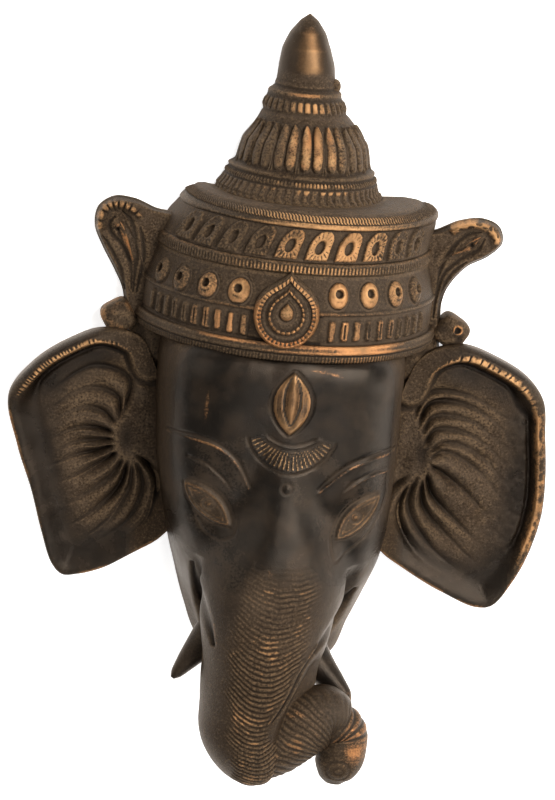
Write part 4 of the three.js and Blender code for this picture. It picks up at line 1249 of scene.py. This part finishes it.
def ear_folds(x, y, shape, seed):
    """How deep the creases cut, how far the dish is hollowed beside them, and thin lines on the folds."""
    cut = hollow = line = np.zeros(x.shape)
    for number, points in enumerate(shape["creases"]):
        strength = 0.7 + 0.5 * scatter(number, seed)
        cut = np.maximum(cut, strength * stroke(x, y, points, 1.5, 0.5, 0.6, 0.16))
        hollow = np.maximum(hollow, strength * stroke(x, y, points, 3.6, 0.5, 0.75, 0.16))
        beside = [(px + 0.9 * shape["side"], py - 1.3) for px, py in points[1:]]
        is_drawn = scatter(number, seed + 4) > 0.35
        line = np.maximum(line, stroke(x, y, beside, 0.5, 0.5, 0.6) * is_drawn)
    return cut, hollow, line


EAR_COLUMNS = 400


def ear_back(root, end):
    """The plain underside of an ear, from its edge to its root."""
    rows = np.array([1.0, 0.97, 0.9, 0.5, 0.01])[:, None, None]
    back = root + (end[None] - root) * rows
    under_rim = np.interp(rows[..., 0], [0, 0.5, 0.85, 0.93, 1], [0, 0, 0, 1, 1])
    z = EAR_DISH_Z + 0.5 - EAR_THICKNESS + (EAR_EDGE_Z - EAR_DISH_Z) * under_rim + 0 * back[..., 0]
    z[0] = EAR_EDGE_Z - EAR_THICKNESS
    return np.concatenate([back, z[..., None]], axis=-1)


def ear(name, shape, seed):
    """An ear: a shallow dish with folds that fan out from its root and a rim, thick along the top."""
    root = np.array(shape["root"], float)
    outline = shape["top"] + shape["edge"] + shape["bottom"] + shape["inner"]
    end = evenly(spline(outline, 4000, closed=True), EAR_COLUMNS, closed=True)
    share = np.concatenate([np.linspace(0.01, 0.7, 60, endpoint=False), np.linspace(0.7, 1, 52)])[:, None]
    flat = root + (end[None] - root) * share[..., None]
    x, y = flat[..., 0], flat[..., 1]

    # The free edge starts above the root and ends below it; the rest lies behind the head.
    free_end = np.argmin(np.linalg.norm(end - np.array(shape["bottom"][-1]), axis=1))
    from_edge = distance_to(x, y, evenly(end[: free_end + 1], 110))
    corner = np.argmin(np.linalg.norm(end - np.array(shape["top"][-1]), axis=1))
    order = np.arange(EAR_COLUMNS)[None, :] + 0 * x
    travel = order * np.linalg.norm(np.diff(end, axis=0), axis=1).mean()
    before_corner = 1 - step(corner - 20, corner + 12, order)
    along_top = before_corner * step(8, 52, order)
    top_zone = np.maximum(before_corner, step(EAR_COLUMNS - 30, EAR_COLUMNS - 1, order))
    near_head = top_zone * (1 - along_top)
    along_side = 0 * x
    if shape["side"] > 0:
        before_end = 1 - step(free_end - 130, free_end - 95, order)
        along_side = step(corner - 10, corner + 10, order) * before_end
    low_rim = (1 - along_top) * (1 - along_side)
    plain = (1 - top_zone) * (1 - along_side)

    # Rim and dish
    ridge_at = 1.2 + (shape["ridge"] - 1.2) * top_zone + 4.0 * near_head + 2.0 * along_side
    ridge_z = EAR_SIDE_RIM_Z + (EAR_TOP_RIM_Z - EAR_SIDE_RIM_Z) * along_top - low_rim
    inside = from_edge - ridge_at
    dish = EAR_DISH_Z + (EAR_ROOT_Z - EAR_DISH_Z) * (1 - step(0, 0.55, share))
    rim = dish + (ridge_z - dish) * (1 - step(0.0, 1.0, inside / (4.6 + 8.0 * plain))) ** 1.3
    round_off = np.sqrt(np.clip(1 - (inside / ridge_at) ** 2, 0, 1))
    outer = EAR_EDGE_Z - 1 + (ridge_z - EAR_EDGE_Z + 1) * round_off
    z = np.where(inside > 0, rim, outer)

    # Folds, pit at the root and notches across the top's band
    cut, hollow, line = ear_folds(x, y, shape, seed)
    in_dish = step(0, 1, (inside - 2.8) / (2.4 + 9.0 * plain))
    pit = np.exp(-(((x - root[0]) / 3.6) ** 2 + ((y - root[1]) / 7.0) ** 2))
    z = z + in_dish * (1.5 - CREASE_DEPTH * 0.7 * cut - 2.6 * hollow + 0.5 * line - 2.4 * pit)
    tick = ticks(travel + 0.4 * np.sin(travel * 0.7), shape["tick"])
    width = shape["band"]
    band = np.exp(-((inside / (0.5 + (width - 0.5) * along_top)) ** 4))
    notches = band * along_top * (1 - tick) ** shape["bite"]
    points = np.stack([x, y, z - 0.7 * notches], axis=-1)
    grain = np.clip(along_side + 0.15, 0, 1)
    points[..., 2] += 0.3 * lumps(points, 8, seed) + 0.2 * lumps(points, 2.0, seed + 1) * grain

    # Finish: gold on the rim, dusty brown pads that fade into black lacquer, and painted shade in the
    # pit, the notches and the outer dish
    pitted = step(-0.5, 0.4, lumps(points, 1.7, seed + 5))
    side_band = along_side * np.exp(-((inside / 2.7) ** 4))
    gold = band * along_top * (0.56 + 0.25 * pitted) + side_band * (0.3 + 0.26 * pitted)
    thin = bump(from_edge, 0.5, 0.7) * plain
    shine = step(-0.3, 0.4, lumps(points, 9, seed + 6))
    wear = gold - 0.5 * notches + 0.35 * thin * (0.3 + 0.7 * shine) + 0.12 * line * in_dish
    wander = 0.07 * lumps(points, 14, seed + 2) + 0.03 * lumps(points, 4, seed + 3)
    faded = 1 - step(0.5, 0.84, share + 0 * x + wander)
    low = step(-100, -55, y)
    pads = in_dish * (1 - 0.95 * hollow) * (0.06 + 0.94 * faded)
    at_head = 1 - step(50, 58, np.abs(x))
    brown = 0.08 + 0.92 * faded * (1 - 0.5 * hollow) + 0.6 * (band * along_top + side_band)
    # Painted shade in the outer part of the dish inside the rim, away from the head
    outer_shade = (1 - faded) * step(width, width + 2.5, inside) * (1 - at_head) * (1 - near_head)
    marks = {
        "wear": wear,
        "grime": 0.95 * pads * (0.55 + 0.45 * low) + 0.4 * near_head * (1 - in_dish),
        "hue": np.clip(0.3 + 0.4 * band * along_top + 0.15 * side_band, 0, 1),
        "brown": np.clip(brown + at_head + near_head, 0, 1),
        # Painted shade in the root's pit, the notches and the outer dish, strongest in the upper part
        "painted_shade": np.clip(0.8 * pit + 0.7 * outer_shade * (0.35 + 0.65 * low) + 0.5 * notches, 0, 1),
    }
    back = ear_back(root, end)
    closed_loft(name, np.concatenate([points, back]), behind(marks, x.shape, rows=len(back)))


ear("ear_left", EAR_LEFT, 3)
ear("ear_right", EAR_RIGHT, 8)

LEAF_COLUMNS = 400


def dab(x, y, middle, radius):
    """1 at the middle of a small spot, fading to 0 outside it."""
    return np.exp(-((np.hypot(x - middle[0], y - middle[1]) / radius) ** 2) * 1.5)


def leaf_relief(x, y, from_edge, shape, rough):
    """Height and marks of a leaf: grooves, a rolled rim and a drop with a hole."""
    from_rim, along_rim = follow(x, y, shape["rim"])
    length = np.linalg.norm(np.diff(spline(shape["rim"], 200), axis=0), axis=1).sum()
    is_lobed = shape["lobe"] > 0
    lobe = ticks(along_rim * length, shape["lobe"]) if is_lobed else 1.0
    rim = np.exp(-((from_rim / 2.1) ** 2) * 1.4)
    rim = rim * step(0, 0.1, along_rim) * step(0, 0.12, 1 - along_rim)
    drop = np.maximum(dab(x, y, shape["head"], 2.5), stroke(x, y, shape["tail"], 1.6, 0.6))
    hole = dab(x, y, shape["hole"], 1.0)
    shine = stroke(x, y, shape["shine"], 0.5, 0.4)
    grooves = np.max([stroke(x, y, points, 1.0, 0.2) for points in shape["grooves"]], axis=0)
    grooves = grooves * (1 - drop)
    height = rim * (1.9 - 1.1 * (1 - lobe)) - grooves + 1.4 * drop - 1.6 * hole + 0.3 * shine
    if not is_lobed:
        height = height - 0.5 * rim * step(0.1, 0.7, rough)
    height = height - 2.2 * (1 - step(0, 1.6, from_edge)) + 0.12 * rough
    polished = 0.42 if is_lobed else 0.75 - 0.5 * step(0.1, 0.7, rough)
    strip = 1 - step(0.8, 2.0, from_edge)
    return height, {
        "wear": rim * polished * (0.3 + 0.7 * lobe) + 0.35 * drop * (1 - hole) + 0.5 * shine,
        "grime": np.clip(0.75 * (1 - rim) * (1 - strip) - 0.5 * drop, 0, 1),
        "hue": np.clip(0.35 + 0.25 * rim - 0.3 * drop, 0, 1),
        "brown": np.clip(0.95 - 0.7 * strip, 0, 1),
        # Painted shade in the grooves, the hole and the gaps between the rim's lobes
        "painted_shade": np.clip(0.5 * grooves + hole + 0.35 * rim * (1 - lobe), 0, 1),
    }


def leaf(name, shape, seed):
    """A curled leaf beside the crown, drawn from its middle line out to its edge."""
    edge = evenly(spline(shape["outline"], 800, closed=True), LEAF_COLUMNS, closed=True)
    middle = spline(shape["middle"], 200)
    nearest = np.argmin(np.linalg.norm(edge[:, None] - middle[None], axis=2), axis=1).astype(float)
    for _ in range(60):
        nearest = (np.roll(nearest, 1) + 2 * nearest + np.roll(nearest, -1)) / 4
    core = np.stack([np.interp(nearest, np.arange(200), middle[:, k]) for k in (0, 1)], axis=1)
    share = np.linspace(0.03, 1, 40)[:, None, None]
    flat = core[None] * (1 - share) + edge[None] * share
    x, y = flat[..., 0], flat[..., 1]
    from_edge = np.linalg.norm(flat - edge[None], axis=-1)
    height, marks = leaf_relief(x, y, from_edge, shape, lumps(unrolled(x, y), 1.5, seed))
    points = np.stack([x, y, LEAF_TOP_Z - 0.6 + height], axis=-1)
    points[..., 2] += 0.3 * lumps(points, 5, seed)

    # The edge goes down to the underside, which closes on the middle line.
    inward = (core - edge) / np.linalg.norm(core - edge, axis=1, keepdims=True)
    half_way = np.column_stack([edge, points[-1, :, 2] * 0.65 + LEAF_Z * 0.35])
    foot = np.column_stack([edge + inward * 1.2, np.full(LEAF_COLUMNS, LEAF_Z)])
    under = np.column_stack([core * 0.97 + edge * 0.03, np.full(LEAF_COLUMNS, LEAF_Z)])
    loops = np.concatenate([points, [half_way, foot, under]])
    closed_loft(name, loops, behind(marks, x.shape, rows=3))


leaf("leaf_left", LEAF_LEFT, 5)
leaf("leaf_right", LEAF_RIGHT, 6)


def lump(name, middle, radii, squareness, turn, copper, ring):
    """A rounded lump of rough metal."""
    polar = np.radians(np.linspace(1, 179, 44))[:, None]
    around = np.linspace(0, 2 * np.pi, 64, endpoint=False)[None, :]
    x, y = np.sin(polar) * np.cos(around), np.sin(polar) * np.sin(around)
    unit = np.stack([x, y, np.cos(polar) + 0 * around], axis=-1)
    unit = np.sign(unit) * np.abs(unit) ** squareness * np.array(radii)
    c, s = math.cos(math.radians(turn)), math.sin(math.radians(turn))
    points = unit @ np.array([(c, s, 0), (-s, c, 0), (0, 0, 1)]) + np.array(middle)
    points[..., 2] += 0.35 * lumps(points, 3.2, 7) * (points[..., 2] > 2)
    on_top = points[..., 2] > 5
    wear = copper * step(0.0, 0.7, lumps(points, 4.5, 9)) * on_top
    # Painted shade where the rough surface dips and in the cast ring's hole
    painted_shade = 0.5 * step(0.1, 0.6, -lumps(points, 3.2, 7))
    if ring:
        away = np.hypot(points[..., 0] - ring[0], points[..., 1] - ring[1])
        lip = bump(away, 1.65, 0.45) * on_top
        points[..., 2] += 0.5 * lip - 0.8 * (1 - step(0.6, 1.4, away)) * on_top
        wear = wear + 0.8 * lip
        painted_shade = painted_shade + (1 - step(0.8, 1.5, away))
    points[..., 2] = np.maximum(points[..., 2], 0)
    marks = {"wear": wear, "grime": 0.6, "hue": 0.3, "brown": 0.95, "painted_shade": np.clip(painted_shade, 0, 1)}
    closed_loft(name, points, marks)


for row in LUMPS:
    lump(*row)


# The pendant's drops from the middle outwards: radius, height. Each takes up a stretch: start, length
PENDANT_DROPS = [(2.7, 7.2), (7.0, 18.0), (12.6, 29.6)]
PENDANT_STRETCHES = [(0, 0.25), (0.25, 0.35), (0.6, 0.4)]
PENDANT_RADIUS, PENDANT_Y = 60.8, 19.6


def drop_outline(radius, height, count):
    """A drop with its point upwards round its middle, as count points."""
    low = radius - height / 2
    t = np.linspace(0, 1, 200)[:, None]
    tip, end = np.array([0, height / 2]), np.array([-radius, low])
    a = np.array([-radius * 0.25, height / 2 - radius * 0.4])
    b = np.array([-radius, low + radius * 0.9])
    left = (1 - t) ** 3 * tip + 3 * (1 - t) ** 2 * t * a + 3 * (1 - t) * t**2 * b + t**3 * end
    turn = np.linspace(np.pi, 2 * np.pi, 200)[1:-1, None]
    bottom = np.concatenate([radius * np.cos(turn), low + radius * np.sin(turn)], axis=1)
    right = left[::-1] * (-1, 1)
    return evenly(np.vstack([left, bottom, right[:-1]]), count, closed=True)


def pendant():
    """The drop-shaped pendant in front of the crown's lowest band."""
    count, rings = 280, 90
    kernel, inner, outer = (drop_outline(*size, count) for size in PENDANT_DROPS)
    s = np.concatenate([np.linspace(0, 1, rings), [1.0, 1.0]])[:, None]
    level = np.concatenate([np.zeros(rings), [1.0, 2.0]])[:, None]
    first, second, third = (np.clip((s - a) / b, 0, 1)[..., None] for a, b in PENDANT_STRETCHES)
    flat = kernel * first + (inner - kernel) * second + (outer - inner) * third

    # From the middle outwards: a ball, a rope of beads, a plain ring, and a coarser rope
    travel = np.linspace(0, 1, count, endpoint=False)[None, :]
    low = step(0.15, 0.3, travel) * (1 - step(0.7, 0.85, travel))
    dome = np.sqrt(np.clip(1 - (s / 0.25) ** 2, 0, 1)) * (s < 0.25)
    inner_rope = bump(s, 0.56, 0.045)
    inner_bead = ticks(travel * 43, 1.9)
    plain = bump(s, 0.7, 0.04)
    outer_rope = plateau(s, 0.8, 0.93, 0.02)
    outer_bead = ticks(travel * 70, 1.65)
    crescent_edge = plateau(s, 0.9, 1.0, 0.03) * low
    height = 1.0 + 1.6 * dome + inner_rope * (0.4 + 0.8 * inner_bead) - 0.4 * plain
    height = height + outer_rope * (0.5 + 0.6 * outer_bead) + 0.75 * crescent_edge
    height = height - 0.5 * bump(s, 0.3, 0.04) - 1.2 * step(0.955, 1.0, s)
    height = np.where(level == 0, height, -3.0 * level)
    z = PENDANT_RADIUS + height - 2.4 * step(6, 14.5, flat[..., 1]) - 0.016 * flat[..., 0] ** 2
    y = flat[..., 1] + PENDANT_Y
    turn = math.radians(PENDANT_ANGLE)
    x = flat[..., 0] * math.cos(turn) + z * math.sin(turn) + along(CROWN_SWAY, y)[0]
    z = (z * math.cos(turn) - flat[..., 0] * math.sin(turn)) * CROWN_FLATNESS
    wear = 0.7 * dome + inner_rope * inner_bead * 0.9 + outer_rope * outer_bead * 0.85
    grime = 0.6 * plain + outer_rope * (1 - outer_bead) * 0.7 + inner_rope * (1 - inner_bead) * 0.6
    grime = grime + 0.8 * bump(s, 0.33, 0.06) + 0.35 - dome - crescent_edge
    hue = 0.75 * dome + 0.6 * inner_rope + 0.55 * outer_rope * (1 - low) + 0.35 * crescent_edge
    marks = {
        "wear": (wear + crescent_edge * 0.9) * (level == 0),
        "grime": np.clip(grime, 0, 1),
        "hue": np.clip(hue, 0, 1),
        "brown": 0.8,
    }
    closed_loft("pendant", np.stack([x, y, z], axis=-1), marks)


pendant()


def camera():
    """The camera, looking at AIM, with the picture's upright turned by ROLL."""
    pitch, yaw, roll = (math.radians(a) for a in (PITCH, YAW, ROLL))
    back = np.array([math.sin(yaw) * math.cos(pitch), math.sin(pitch), math.cos(yaw) * math.cos(pitch)])
    level = np.array([math.cos(yaw), 0, -math.sin(yaw)])
    rise = np.cross(back, level)
    right = level * math.cos(roll) + rise * math.sin(roll)
    up = -level * math.sin(roll) + rise * math.cos(roll)
    where = (AIM + TO_PART + DISTANCE * back) * MM
    data = bpy.data.cameras.new("camera")
    data.lens = LENS
    data.sensor_width = 36
    made = bpy.data.objects.new("camera", data)
    bpy.context.collection.objects.link(made)
    rows = [[right[k], up[k], back[k], where[k]] for k in range(3)]
    made.matrix_world = Matrix(rows + [[0, 0, 0, 1]])
    bpy.context.scene.camera = made


def softbox(name, where, size, power, colour):
    """A rectangular light aimed at the middle of the mask."""
    data = bpy.data.lights.new(name, "AREA")
    data.shape = "RECTANGLE"
    data.size, data.size_y = size
    data.energy = power
    data.color = colour
    made = bpy.data.objects.new(name, data)
    bpy.context.collection.objects.link(made)
    made.location = where
    made.rotation_euler = (Vector(LIT_POINT) - Vector(where)).to_track_quat("-Z", "Y").to_euler()


def studio():
    """Softboxes, an even white world and a pale floor that glows a little."""
    for row in SOFTBOXES:
        softbox(*row)
    bpy.context.scene.view_settings.view_transform = "Standard"
    world = bpy.data.worlds.new("studio")
    world.use_nodes = True
    background = world.node_tree.nodes["Background"].inputs
    background["Color"].default_value = (1, 1, 1, 1)
    background["Strength"].default_value = WORLD_STRENGTH
    bpy.context.scene.world = world

    mesh = bpy.data.meshes.new("floor")
    corners = [(FLOOR_REACH * a, FLOOR_REACH * b, 0) for a, b in ((-1, -1), (1, -1), (1, 1), (-1, 1))]
    mesh.from_pydata(corners, [], [(0, 1, 2, 3)])
    floor = bpy.data.objects.new("floor", mesh)
    bpy.context.collection.objects.link(floor)
    paper = bpy.data.materials.new("paper")
    paper.use_nodes = True
    shader = paper.node_tree.nodes["Principled BSDF"].inputs
    shader["Base Color"].default_value = (0.92, 0.92, 0.92, 1)
    shader["Roughness"].default_value = 0.9
    shader["Emission Color"].default_value = (1, 1, 1, 1)
    shader["Emission Strength"].default_value = FLOOR_GLOW
    mesh.materials.append(paper)


camera()
studio()

bpy.context.view_layer.update()
